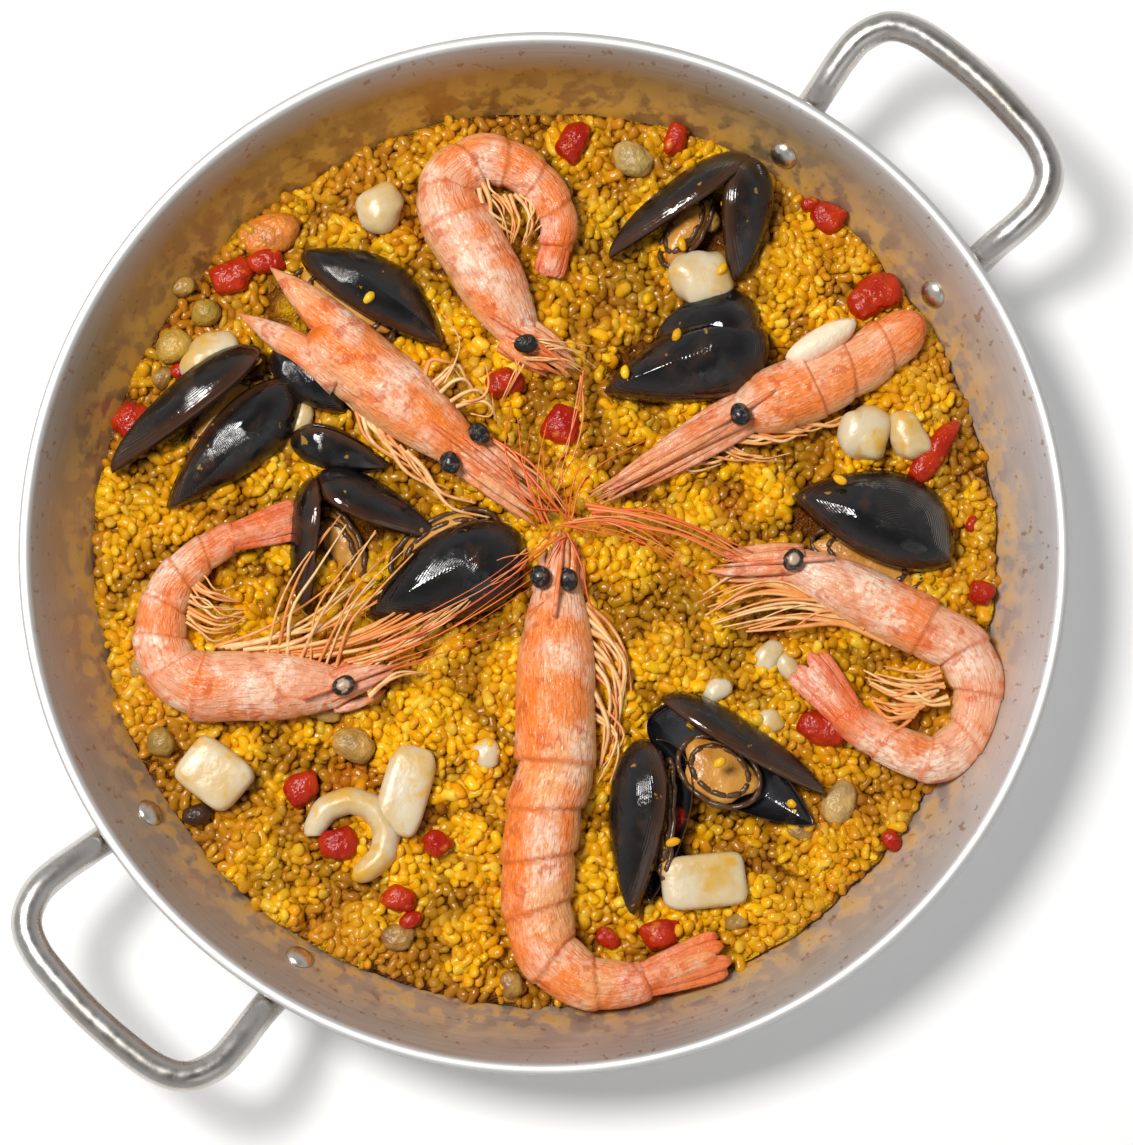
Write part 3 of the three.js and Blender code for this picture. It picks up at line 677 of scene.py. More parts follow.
rice_grain, tree, shader = surface("rice_grain", Roughness=0.15, Specular_IOR_Level=0.42)
place = node(tree, "ShaderNodeTexCoord").outputs["Object"]
golden = ramp(tree, attribute(tree, "tone"), [
    (0, (0.74, 0.29, 0.001)), (0.4, (0.88, 0.42, 0.001)), (0.8, (0.93, 0.51, 0.002)),
    (1, (0.92, 0.6, 0.05))])
parts = node(tree, "ShaderNodeSeparateXYZ", {"Vector": place}).outputs
# Painted shade, partly sauce: grains low in the valleys between the clumps are painted darker.
valley_sauce_and_shade = between(tree, attribute(tree, "rise"), 0.55, 0.0)
golden = stained(tree, golden, valley_sauce_and_shade, 0.85, (0.24, 0.075, 0.002))
wet = math_node(tree, "MULTIPLY", attribute(tree, "sauce"), patches(tree, 90.0, 0.3, 0.6, detail=4.0))
golden = stained(tree, golden, wet, 0.75, (0.3, 0.1, 0.006))
golden = stained(tree, golden, patches(tree, 26.0, 0.6, 0.68, detail=5.0), 0.5, (0.5, 0.12, 0.004))
olive = patches(tree, 38.0, 0.42, 0.62, detail=3.0)
golden = stained(tree, golden, olive, 0.24, (0.56, 0.36, 0.004))
flat = node(tree, "ShaderNodeCombineXYZ", {"X": parts["X"], "Y": parts["Y"]}).outputs["Vector"]
radius = node(tree, "ShaderNodeVectorMath", {0: flat}, operation="LENGTH").outputs["Value"]
far = between(tree, radius, 0.118, 0.158)
toasted = math_node(tree, "MULTIPLY", far, patches(tree, 28.0, 0.4, 0.62, detail=5.0))
golden = stained(tree, golden, toasted, 0.6, (0.44, 0.15, 0.008))
golden = stained(tree, golden, patches(tree, 45.0, 0.5, 0.62, detail=4.0), 0.45, (0.5, 0.19, 0.004))
golden = stained(tree, golden, patches(tree, 900.0, 0.66, 0.74), 0.6, (0.3, 0.1, 0.01))
painted(tree, shader, golden)
bumped(tree, shader, patches(tree, 1400.0, 0.2, 0.8), 0.0002, 0.5)

KINDS = 4
for kind in range(KINDS):
    grain = grain_mesh(f"grain_{kind}", kind, (3.3, 2.1, 1.95), 0.13)
    grown(f"rice_grains_{kind + 1}", core, SCATTER, {
        "Thing": grain, "Material": rice_grain, "Kind": kind, "Kinds": KINDS, "Seed": 3,
        "Spacing": 0.0028, "Lift": 0.0007, "Tilt": 1.0, "Small": 0.66, "Large": 1.16})


# ---------------------------------------------------------------- prawns
# Six whole prawns, cooked in their shells. Each has a long carapace, six overlapping tail
# plates and a fan, and a snout of narrow spines that runs out to the middle of the pan.
# In the plan, `belly` is +1 where the belly is on the left of the way from tail to head.
PRAWN_HEIGHT = 31
PRAWNS = [
    {"width": 25, "end": 0.5, "hold": 0.8, "fan": 13, "belly": 1, "warm": 0.2, "flat": 1, "spread": 0.6,
     "nose": (13, 62), "brow": (-8, 75), "joint": (-32, 118), "eyes": [(-6.4, 71.5)],
     "tail": [(-34, 130), (-21, 139), (-4, 132), (5, 116), (0, 94)],
     "raw": [((-36, 138), (-16, 150), 4), ((-10, 146), (10, 132), 5), ((13, 124), (8, 104), 4)]},
    {"width": 27, "end": 0.8, "hold": 1, "fan": 3, "belly": 1, "warm": 0.5, "flat": 0,
     "nose": (5, 10), "brow": (-28, 35), "joint": (-80, 77), "eyes": [(-22.6, 40.2), (-32.6, 30)],
     "tail": [(-82, 78.5), (-84, 80)],
     "flaps": [[(-62, 70, 32, 7, 8), (-76, 82, 33, 7, 6.5), (-87, 92, 33, 4.4, 3),
                (-96, 100, 32, 0.3, 0.4)],
               [(-71, 60, 31, 7, 8), (-86, 71, 32, 6, 5.5), (-97, 78, 31, 3.8, 2.5),
                (-107, 84, 30, 0.3, 0.4)]],
     "raw": [((-94, 87), (-58, 60), 3.2), ((-46, 56), (-34, 44), 2.5)]},
    {"width": 24, "end": 0.72, "hold": 1, "fan": 3, "belly": -1, "warm": 0.4, "flat": 1,
     "nose": (8, 13), "brow": (68, 48), "joint": (94, 58), "eyes": [(67.9, 46.8)], "plates": 3,
     "bare": [((88, 70), (106, 80), 5)], "flesh": (96.5, 73, 35.5),
     "tail": [(110, 66), (124, 76), (135, 84)],
     "raw": [((100, 55), (132, 78), 5), ((128, 74), (136, 84), 7), ((78, 40), (98, 52), 2.5)]},
    {"width": 21.5, "end": 0.62, "hold": 1.5, "fan": 26, "belly": -1, "warm": 0.15, "flat": 1, "spread": 0.8,
     "nose": (53, -6), "brow": (85, -4), "joint": (132, -27), "eyes": [(85.9, -3.8)],
     "tail": [(145, -35), (150.5, -50), (146, -65), (133, -72), (116, -65), (105, -57), (89, -34)]},
    {"width": 28, "end": 0.5, "hold": 2.4, "fan": 32, "belly": 1, "warm": 0.7, "flat": 0, "spread": 0.7,
     "nose": (7, 8), "brow": (5, -10), "joint": (4, -74), "eyes": [(8.2, -10.7), (-1.4, -9.7)],
     "tail": [(0, -91), (-2, -109), (-2, -125), (2, -139), (14, -148), (29, -149), (44, -143),
              (60, -127)],
     "raw": [((-6, -70), (-4, -30), 3.5), ((-8, -96), (-10, -130), 5), ((8, -84), (8, -112), 3)]},
    {"width": 24.5, "end": 0.46, "hold": 0.9, "fan": 27, "belly": -1, "warm": 0.15, "flat": 1, "spread": 0.7,
     "nose": (-46, -38), "brow": (-70, -47), "joint": (-120, -46), "eyes": [(-68.8, -47.4)],
     "tail": [(-130, -39), (-133, -27), (-129, -12), (-117, 0), (-104, 6), (-80, 10)]},
]

prawn_shell, tree, shader = surface("prawn_shell", Roughness=0.18, Specular_IOR_Level=0.34)
warm = attribute(tree, "warm")
fibre_way = node(tree, "ShaderNodeCombineXYZ", {
    "X": attribute(tree, "run"), "Y": attribute(tree, "east"), "Z": attribute(tree, "top")})
fibre_way = fibre_way.outputs["Vector"]
shell = blend(tree, warm, (0.77, 0.36, 0.23), (0.84, 0.36, 0.1))
orange = patches(tree, 44.0, 0.44, 0.53, detail=7.0)
shell = stained(tree, shell, orange, 0.75, (0.83, 0.17, 0.01))
bloom = math_node(tree, "MULTIPLY", patches(tree, 58.0, 0.46, 0.62, detail=9.0),
                  patches(tree, 520.0, 0.3, 0.52, detail=4.0))
bloom = math_node(tree, "MULTIPLY", bloom, math_node(tree, "SUBTRACT", 1.0, math_node(
    tree, "MULTIPLY", warm, 0.4)))
shell = blend(tree, bloom, shell, (0.9, 0.7, 0.55))
shell = stained(tree, shell, attribute(tree, "raw"), 0.75, (0.84, 0.18, 0.006))
fibre = patches(tree, 1.0, 0.5, 0.64, vector=fibre_way, detail=6.0)
shell = stained(tree, shell, fibre, 0.36, (0.74, 0.13, 0.012))
pale_fibre = patches(tree, 1.7, 0.54, 0.64, vector=fibre_way, detail=4.0)
shell = stained(tree, shell, pale_fibre, 0.4, (0.9, 0.56, 0.3))
shell = stained(tree, shell, patches(tree, 150.0, 0.58, 0.64, detail=6.0), 0.6, (0.6, 0.09, 0.01))
shell = stained(tree, shell, attribute(tree, "belly"), 0.7, (0.84, 0.46, 0.2))
shell = stained(tree, shell, attribute(tree, "edge"), 0.7, (0.66, 0.12, 0.01))
shell = blend(tree, attribute(tree, "red"), shell, (0.74, 0.1, 0.015))
shell = blend(tree, attribute(tree, "bare"), shell, (0.86, 0.72, 0.52))
painted(tree, shader, shell)
relief = math_node(tree, "ADD", math_node(tree, "MULTIPLY", fibre, 0.5),
                   patches(tree, 300.0, 0.3, 0.7, detail=6.0))
bumped(tree, shader, relief, 0.0006, 0.7)


def side_of(way):
    return np.array([-way[1], way[0]])


def fibre_values(length, half, steps, sides):
    """Where each point of a tube lies along it and round it, so fibres can follow its length."""
    turns = 2 * np.pi * np.arange(sides) / sides
    run = np.append(np.repeat(np.linspace(0, length, steps), sides), [0, length]) * 0.2
    east = np.append(np.tile(half * np.cos(turns), steps), [0, 0]) * 0.9
    top = np.append(np.tile(half * np.sin(turns), steps), [0, 0]) * 0.9
    return {"run": run, "east": east, "top": top}


def prawn_body(prawn):
    """Rings from brow to tail end with plates that overlap backwards, and values for paint."""
    half = prawn["width"] / 2
    brow, joint = np.array(prawn["brow"]), np.array(prawn["joint"])
    carapace = np.linalg.norm(joint - brow)
    line = spline([tuple(brow + (joint - brow) * t) for t in (0, 0.35, 0.7, 1)]
                  + list(prawn["tail"]), 400)
    run = np.append(0, np.cumsum(np.linalg.norm(np.diff(line, axis=0), axis=1)))
    last = run[-1] - prawn["fan"]
    count, sides = 220, 44
    at = np.linspace(0, last, count)
    spine = np.stack([np.interp(at, run, line[:, k]) for k in (0, 1)], -1)
    way = np.gradient(spine, axis=0)
    way /= np.linalg.norm(way, axis=1)[:, None]
    turns = 2 * np.pi * np.arange(sides) / sides
    plate_length = (last - carapace) / prawn.get("plates", 6)
    rings, edge, belly = [], [], []
    for s, place, ahead in zip(at, spine, way):
        out = side_of(ahead) * -prawn["belly"]
        cosine, sine = np.cos(turns), np.sin(turns)
        if s < carapace:
            share = s / carapace
            wide = half * (0.56 + 0.46 * math.sin(min(share / 0.55, 1) * math.pi / 2))
            tall = wide * (0.72 + 0.1 * share)
            plate = np.full(sides, share)
            step = 1 + 0.05 * share**6
            groove = np.exp(-((share - 0.45 + 0.18 * cosine) / 0.03) ** 2)
            step = step - 0.035 * groove
            line_here = np.exp(-((share - 0.985) / 0.02) ** 2) + 0.4 * groove
        else:
            behind = (s - carapace) / (last - carapace)
            size = 0.98 + (prawn["end"] - 0.98) * behind ** prawn["hold"]
            wide, tall = half * size, half * size * 0.82
            phase = (s - carapace) / plate_length + 0.16 * (1 - cosine) - 0.12 * np.abs(sine)
            plate = np.clip(phase, 0, None) % 1
            step = 0.93 + 0.1 * plate ** 1.5
            line_here = np.exp(-((plate - 0.97) / 0.05) ** 2) * (0 if "flaps" in prawn else 1)
            if "flaps" in prawn:
                step = 0 * plate + 0.98
            lobes = np.where(cosine < -0.2, 0.09 * np.sin(np.pi * plate) * -cosine, 0)
            step = step + lobes
        if prawn["fan"] > 5:
            end = min(1.0, (last - s) / (0.35 * half) + 0.75)
        else:
            end = math.sqrt(1 - (1 - min(1.0, (last - s) / half + 0.01)) ** 2)
        across = wide * step * cosine * end * np.where(cosine < 0, 0.93, 1)
        rise = tall * step * sine * end
        points = np.empty((sides, 3))
        points[:, :2] = place + across[:, None] * out
        points[:, 2] = PRAWN_HEIGHT + rise
        rings.append(points)
        edge.append(line_here * np.ones(sides))
        belly.append(np.clip((-cosine - 0.72) / 0.25, 0, 1))
    rings = np.array(rings)
    rings[:, :, 2] = np.minimum(rings[:, :, 2], PRAWN_HEIGHT + 0.84 * half)
    return rings, np.ravel(edge), np.ravel(belly), spine, way


def join(parts):
    """One set of points and faces from several, with their values joined in the same order."""
    points, faces, values = [], [], {}
    total = 0
    for part_points, part_faces, part_values in parts:
        faces += [tuple(total + v for v in face) for face in part_faces]
        points.append(part_points)
        total += len(part_points)
        for key, value in part_values.items():
            values.setdefault(key, []).append(np.broadcast_to(value, len(part_points)))
    return np.vstack(points), faces, {k: np.concatenate(v) for k, v in values.items()}


def blade(stations, sides=8, **values):
    """A tapered spine or leaf swept through a few x, y, z, half width, half thickness rows."""
    rings = tube(spline(stations, 14), sides, (0, 0, 1))
    length = np.linalg.norm(np.subtract(stations[-1][:3], stations[0][:3]))
    wide = max(row[3] for row in stations)
    values = {**values, **fibre_values(length, wide, 14, sides)}
    return *laid_mesh(rings), values


def ball(place, radii, turn=0.0, rows=12, sides=16, square=2.0, seed=0, dent=0.0):
    """A closed lump in the plan of the food: rounder or squarer, and dented by its seed."""
    power = 2 / square
    rings = []
    for r in range(1, rows):
        rise = -math.pi / 2 + math.pi * r / rows
        row = []
        for s in range(sides):
            t = 2 * math.pi * s / sides
            swell = 1 + dent * (0.6 * math.sin(2 * t + seed + rise) + 0.5 * math.sin(3 * t + 2.3 * seed)
                                + 0.4 * math.sin(5 * t + 1.7 * seed + 3 * rise))
            cos_rise = abs(math.cos(rise)) ** power
            x = radii[0] * swell * cos_rise * math.copysign(abs(math.cos(t)) ** power, math.cos(t))
            y = radii[1] * swell * cos_rise * math.copysign(abs(math.sin(t)) ** power, math.sin(t))
            z = radii[2] * (1 + dent * math.sin(2 * t + 3 * seed) * math.cos(rise)) * math.copysign(
                abs(math.sin(rise)) ** power, math.sin(rise))
            row.append((place[0] + x * math.cos(turn) - y * math.sin(turn),
                        place[1] + x * math.sin(turn) + y * math.cos(turn), place[2] + z))
        rings.append(row)
    return laid_mesh(rings)


def prawn_fan(prawn, tip, way):
    """Five leaves folded over one another: one in the middle and two on each side."""
    half = prawn["width"] / 2 * prawn["end"]
    across = side_of(way)
    spread = prawn.get("spread", 1)
    leaves = []
    for turn, share, lift in ((0, 0.86, 1.4), (-0.09, 1, 0.6), (0.09, 0.97, 0.6),
                              (-0.2, 0.93, -0.4), (0.2, 0.95, -0.4)):
        turn *= spread
        heading = way * math.cos(turn) + across * math.sin(turn)
        root = tip + across * turn * half * 2.4 - way * 3
        reach = prawn["fan"] * share
        z = PRAWN_HEIGHT + 1.5 + lift
        rows = [(*(root + heading * reach * t), z - 2 * t, half * wide, thick)
                for t, wide, thick in ((0, 0.5, 2.6), (0.35, 0.5, 1.6), (0.7, 0.46, 1.1),
                                       (0.93, 0.36, 0.7), (1, 0.16, 0.3))]
        leaves.append(blade(rows, sides=12, edge=0.1, belly=0, red=0.6 if turn else 0.25))
    return leaves


def prawn_snout(prawn, rng):
    """The narrow scales and spines that reach from the brow to the tip of the snout."""
    brow, nose = np.array(prawn["brow"], float), np.array(prawn["nose"], float)
    reach = nose - brow
    length = np.linalg.norm(reach)
    way = reach / length
    across = side_of(way)
    half = prawn["width"] / 2
    spines = []
    for k in range(11):
        spread = (k - 5) / 5
        begin = brow - way * 5 + across * spread * half * 0.5
        short = rng.uniform(0.62, 1.04) * (1 - 0.22 * abs(spread))
        finish = brow + reach * short + across * spread * half * (0.28 if length > 45 else 0.5)
        bow = across * rng.uniform(-1, 1) * 1.2
        z = PRAWN_HEIGHT + half * 0.42 * (1 - spread**2) + rng.uniform(-1, 1)
        wide = rng.uniform(1.5, 2.6)
        rows = [(*begin, z - 1, wide, 1.6), (*(begin + (finish - begin) * 0.35 + bow), z + 0.5, wide, 1.2),
                (*(begin + (finish - begin) * 0.75 + bow), z - 1, wide * 0.6, 0.8),
                (*finish, z - 2.5, 0.25, 0.25)]
        spines.append(blade(rows, edge=0.15 * (k % 3), belly=0.6 * (k % 2), red=rng.uniform(0, 0.3)))
    crest = [(*(brow - way * 14), PRAWN_HEIGHT + half * 0.74, 0.8, 0.8),
             (*(brow + way * 2), PRAWN_HEIGHT + half * 0.66, 1.0, 1.8),
             (*(brow + way * min(length * 0.5, 20)), PRAWN_HEIGHT + half * 0.5, 0.7, 1.2),
             (*(brow + way * min(length * 0.8, 34)), PRAWN_HEIGHT + half * 0.45, 0.2, 0.2)]
    spines.append(blade(crest, edge=0.2, belly=0, red=0.3))
    return spines


for i, prawn in enumerate(PRAWNS):
    rng = np.random.default_rng(20 + i)
    rings, edge, belly, spine, way = prawn_body(prawn)
    points, faces = laid_mesh(rings)
    along = np.repeat(np.linspace(0, 1, len(rings)), rings.shape[1])
    red = 0.55 * np.clip((along - 0.9) / 0.1, 0, 1)
    ends = {"edge": np.append(edge, [0, 0]), "belly": np.append(belly, [0, 0]),
            "red": np.append(red, [0, 0.3]) * (0 if "flaps" in prawn else 1)}
    ends.update(fibre_values(np.linalg.norm(np.diff(spine, axis=0), axis=1).sum(), prawn["width"] / 2,
                             *rings.shape[:2]))
    parts = [(points, faces, ends)] + prawn_snout(prawn, rng)
    for rows, tone in zip(prawn.get("flaps", []), (0, 0.1)):
        parts.append(blade(rows, sides=16, edge=tone, belly=0, red=tone))
    if "flesh" in prawn:
        points, faces = ball(prawn["flesh"], (14, 5.2, 4.6), 0.5, sides=24, dent=0.04)
        parts.append((points, faces, {key: 0 for key in ("edge", "belly", "red", "run", "east", "top")}))
    if prawn["fan"] > 5:
        parts += prawn_fan(prawn, spine[-1], way[-1])
    points, faces, values = join(parts)
    values["warm"] = np.full(len(points), prawn["warm"])
    plan = plan_of(points)
    for paint in ("raw", "bare"):
        values[paint] = np.zeros(len(points))
        for (ax, ay), (bx, by), wide in prawn.get(paint, []):
            line = np.array([bx - ax, by - ay], float)
            t = np.clip(((plan - (ax, ay)) @ line) / (line @ line), 0, 1)
            away = np.linalg.norm(plan - (np.array([ax, ay]) + t[:, None] * line), axis=1)
            values[paint] = np.maximum(values[paint], np.exp(-((away / wide) ** 4)))
    show(f"prawn_body_{i + 1}", within_wall(points), faces, prawn_shell, "prawn_shell",
         (f"prawn_{i + 1}",), **values)


# ---------------------------------------------------------------- prawn eyes
# Black beads that stand out at the brow of each prawn, cooked dull. On the palest prawns
# each has a lighter spot on top.
prawn_eye, tree, shader = surface("prawn_eye", Roughness=0.3)
spots = patches(tree, 420.0, 0.52, 0.62, detail=3.0)
bead = stained(tree, (0.008, 0.007, 0.008), spots, 0.4, (0.22, 0.18, 0.14))
painted(tree, shader, blend(tree, attribute(tree, "pale"), bead, (0.6, 0.42, 0.28)))
bumped(tree, shader, spots, 0.0004)


eyes = []
for prawn in PRAWNS:
    for x, y in prawn["eyes"]:
        z = PRAWN_HEIGHT + prawn["width"] * (0.36 if prawn["flat"] else 0.3)
        points, faces = ball((x, y, z), (4.2, 3.5, 3.0), turn=x, seed=x, dent=0.05, rows=14, sides=24)
        away = np.linalg.norm((points - laid((x, y, z)))[:, :2], axis=1) * 1000
        cap = (away < 2.2) & (points[:, 2] * 1000 > z)
        eyes.append((points, faces, {"pale": cap * (0.75 if prawn["warm"] < 0.18 else 0)}))
points, faces, values = join(eyes)
show("prawn_eyes", points, faces, prawn_eye, "prawn_shell", **values)


# ---------------------------------------------------------------- prawn legs and feelers
# Legs and swimming legs come out from under the belly side in loose combs; the long red
# feelers of all six cross over one another in the middle of the pan.
# A comb is: two ends of its root line, two ends of its tip line, how far it bows to the left,
# how many, thickness in mm, and height at root, middle and tip.
LEGS = [
    ((-24, 126), (3, 126), (-17, 108), (-2, 112), 3, 13, 0.55, (33, 33, 30)),
    ((-28, 118), (-20, 134), (-15, 112), (-10, 118), -3, 6, 0.7, (34, 34, 31)),
    ((-12, 74), (-6, 66), (14, 72), (16, 60), 2, 6, 0.4, (36, 37, 31)),
    ((-14, 78), (-10, 72), (-16, 52), (-12, 50), 3, 3, 0.4, (34, 34, 30)),
    ((-72, 56), (-42, 30), (-52, 34), (-18, 12), -4, 9, 0.8, (31, 31, 29)),
    ((-44, 62), (-30, 50), (-28, 64), (-16, 46), 6, 6, 0.8, (34, 36, 30)),
    ((-36, 60), (-24, 46), (-38, 88), (-14, 52), -4, 3, 0.45, (35, 38, 33)),
    ((60, 38), (90, 46), (76, 34), (112, 52), -3, 9, 0.75, (30, 30, 29)),
    ((40, 28), (66, 40), (52, 28), (92, 38), -3, 6, 0.6, (30, 29, 28)),
    ((84, -12), (122, -34), (50, -17), (72, -30), -6, 14, 0.75, (31, 32, 30)),
    ((90, -14), (112, -28), (58, -12), (86, -30), -4, 6, 0.5, (33, 33, 31)),
    ((138, -46), (124, -61), (112, -42), (116, -58), 3, 15, 0.8, (33, 34, 30)),
    ((136, -40), (140, -54), (118, -40), (120, -50), 2, 8, 0.6, (35, 35, 31)),
    ((13, -16), (17, -60), (26, -52), (17, -84), 7, 12, 0.85, (31, 32, 29)),
    ((14, -14), (17, -40), (30, -46), (24, -72), 5, 6, 0.7, (30, 30, 28)),
    ((-116, -33), (-76, -37), (-72, -12), (-14, -12), -5, 16, 0.7, (32, 35, 33)),
    ((-96, -36), (-70, -40), (-74, 12), (-44, -2), 4, 8, 0.55, (33, 40, 38)),
    ((-70, -38), (-60, -42), (-40, -30), (-6, 0), -3, 7, 0.5, (34, 37, 36)),
    ((-122, -6), (-124, -26), (-106, -14), (-106, -28), -3, 13, 0.55, (33, 33, 29)),
    ((-62, -46), (-60, -52), (-44, -34), (-40, -42), 2, 5, 0.6, (34, 34, 31)),
]
FEELERS = [
    ((-58, -30), (-52, -42), (0, 12), (2, -14), -3, 7, 0.4, (36, 41, 37)),
    ((14, 16), (19, 9), (72, -2), (66, -6), 4, 6, 0.9, (37, 37, 35)),
    ((4, 8), (10, 10), (52, -14), (48, 2), 5, 6, 0.45, (38, 38, 35)),
    ((-4, 12), (4, 6), (-18, 52), (2, 40), 4, 4, 0.4, (36, 38, 35)),
    ((4, 14), (10, 10), (-22, 30), (38, 40), 4, 5, 0.4, (37, 39, 35)),
    ((2, 8), (8, 4), (-30, -6), (-20, -16), 3, 4, 0.35, (38, 40, 36)),
    ((6, 4), (8, 6), (-8, -34), (28, -30), -3, 4, 0.4, (37, 37, 34)),
    ((12, 60), (14, 64), (6, 14), (-4, 16), 3, 3, 0.35, (34, 37, 36)),
    ((-20, 40), (-14, 36), (6, 12), (14, 6), 2, 4, 0.8, (36, 38, 36)),
]


def strands_tree():
    """Geometry nodes: every line of edges becomes a thin round strand that thins to its tip."""
    tree = bpy.data.node_groups.new("strands", "GeometryNodeTree")
    tree.interface.new_socket("Lines", in_out="INPUT", socket_type="NodeSocketGeometry")
    tree.interface.new_socket("Material", in_out="INPUT", socket_type="NodeSocketMaterial")
    tree.interface.new_socket("Strands", in_out="OUTPUT", socket_type="NodeSocketGeometry")
    given = tree.nodes.new("NodeGroupInput").outputs
    lines = node(tree, "GeometryNodeMeshToCurve", {"Mesh": given["Lines"]})
    thick = node(tree, "GeometryNodeInputNamedAttribute", {"Name": "thick"}, data_type="FLOAT")
    sized = node(tree, "GeometryNodeSetCurveRadius", {
        "Curve": lines.outputs["Curve"], "Radius": thick.outputs["Attribute"]})
    ring = node(tree, "GeometryNodeCurvePrimitiveCircle", {"Resolution": 6, "Radius": 1.0})
    swept = node(tree, "GeometryNodeCurveToMesh", {
        "Curve": sized.outputs["Curve"], "Profile Curve": ring.outputs["Curve"], "Fill Caps": True})
    tree.links.new(thick.outputs["Attribute"], swept.inputs["Scale"])
    smooth = node(tree, "GeometryNodeSetShadeSmooth", {"Geometry": swept.outputs["Mesh"]})
    real = node(tree, "GeometryNodeRealizeInstances", {"Geometry": smooth.outputs["Geometry"]})
    done = node(tree, "GeometryNodeSetMaterial", {
        "Geometry": real.outputs["Geometry"], "Material": given["Material"]})
    out = tree.nodes.new("NodeGroupOutput")
    tree.links.new(done.outputs["Geometry"], out.inputs["Strands"])
    return tree


STRANDS = strands_tree()


STRAND_STEPS = 14


def strands(name, combs, material, seed, wander, thickness):
    """Lines of edges for every strand of every comb, made into strands by the node tree."""
    rng = np.random.default_rng(seed)
    points, edges, thick, tone = [], [], [], []
    for root_a, root_b, tip_a, tip_b, bow, count, size, heights in combs:
        root_a, root_b, tip_a, tip_b = (np.array(p, float) for p in (root_a, root_b, tip_a, tip_b))
        for k in range(count):
            share = (k + rng.uniform(0.1, 0.9)) / count
            start = root_a + (root_b - root_a) * share
            stop = tip_a + (tip_b - tip_a) * share + rng.normal(0, wander, 2)
            side = side_of(stop - start) / np.linalg.norm(stop - start)
            lean = bow * rng.uniform(0.5, 1.4)
            rows = [(*start, heights[0])]
            for t in (0.3, 0.62):
                sideways = lean * math.sin(math.pi * t) + rng.normal(0, 1)
                middle = start + (stop - start) * t + side * sideways
                rows.append((*middle, heights[1] + rng.normal(0, 0.5)))
            rows.append((*stop, heights[2]))
            line = laid(spline(rows, STRAND_STEPS))
            first = len(points)
            points += list(line)
            edges += [(first + n, first + n + 1) for n in range(STRAND_STEPS - 1)]
            taper = np.linspace(1, 0.35, STRAND_STEPS)
            thick += list(thickness * size * rng.uniform(0.6, 1.2) * taper / 1000)
            tone += [rng.uniform()] * STRAND_STEPS
    mesh = bpy.data.meshes.new(name)
    mesh.from_pydata([tuple(p) for p in points], edges, [])
    for label, values in (("thick", thick), ("tone", tone)):
        mesh.attributes.new(label, "FLOAT", "POINT").data.foreach_set("value", values)
    lines = bpy.data.objects.new(name + "_lines", mesh)
    bpy.context.scene.collection.objects.link(lines)
    grown(name, lines, STRANDS, {"Material": material})
    bpy.data.objects.remove(lines)


prawn_leg, tree, shader = surface("prawn_leg", Roughness=0.4)
limb = ramp(tree, attribute(tree, "tone"), [
    (0, (0.78, 0.26, 0.05)), (0.4, (0.83, 0.42, 0.14)), (1, (0.85, 0.6, 0.28))])
limb = stained(tree, limb, patches(tree, 260.0, 0.5, 0.65), 0.6, (0.72, 0.2, 0.05))
painted(tree, shader, limb)

prawn_feeler, tree, shader = surface("prawn_feeler", Roughness=0.35)
painted(tree, shader, ramp(tree, attribute(tree, "tone"), [
    (0, (0.72, 0.1, 0.015)), (0.6, (0.8, 0.2, 0.04)), (1, (0.84, 0.36, 0.16))]))

strands("prawn_legs", LEGS, prawn_leg, 4, 1.6, 1.35)
strands("prawn_feelers", FEELERS, prawn_feeler, 9, 2.2, 1.0)


# ---------------------------------------------------------------- mussels
# Eleven black mussels: thin domed valves with fine growth lines and brown edges, dark grey
# inside. Most lie with the dome up; in the open ones the orange meat and its dark frill show.
# Each has its broad end `at`, the way to its other end, and its valves: share of the length,
# roll, turn, sideways and upwards shift, and -1 for a valve that lies with its inside up.
def pair(roll, gape, second=1.0):
    return [(1.0, roll, -gape / 2, 0, 0, 1), (second, 200 - roll, gape / 2, 0, 0, -1)]


def closed(roll, lip):
    return [(1.0, roll + 5 * lip, 0, 0, 0.6, 1), (0.96, roll - 7 * lip, 0, 1.5 * lip, -1, -1)]


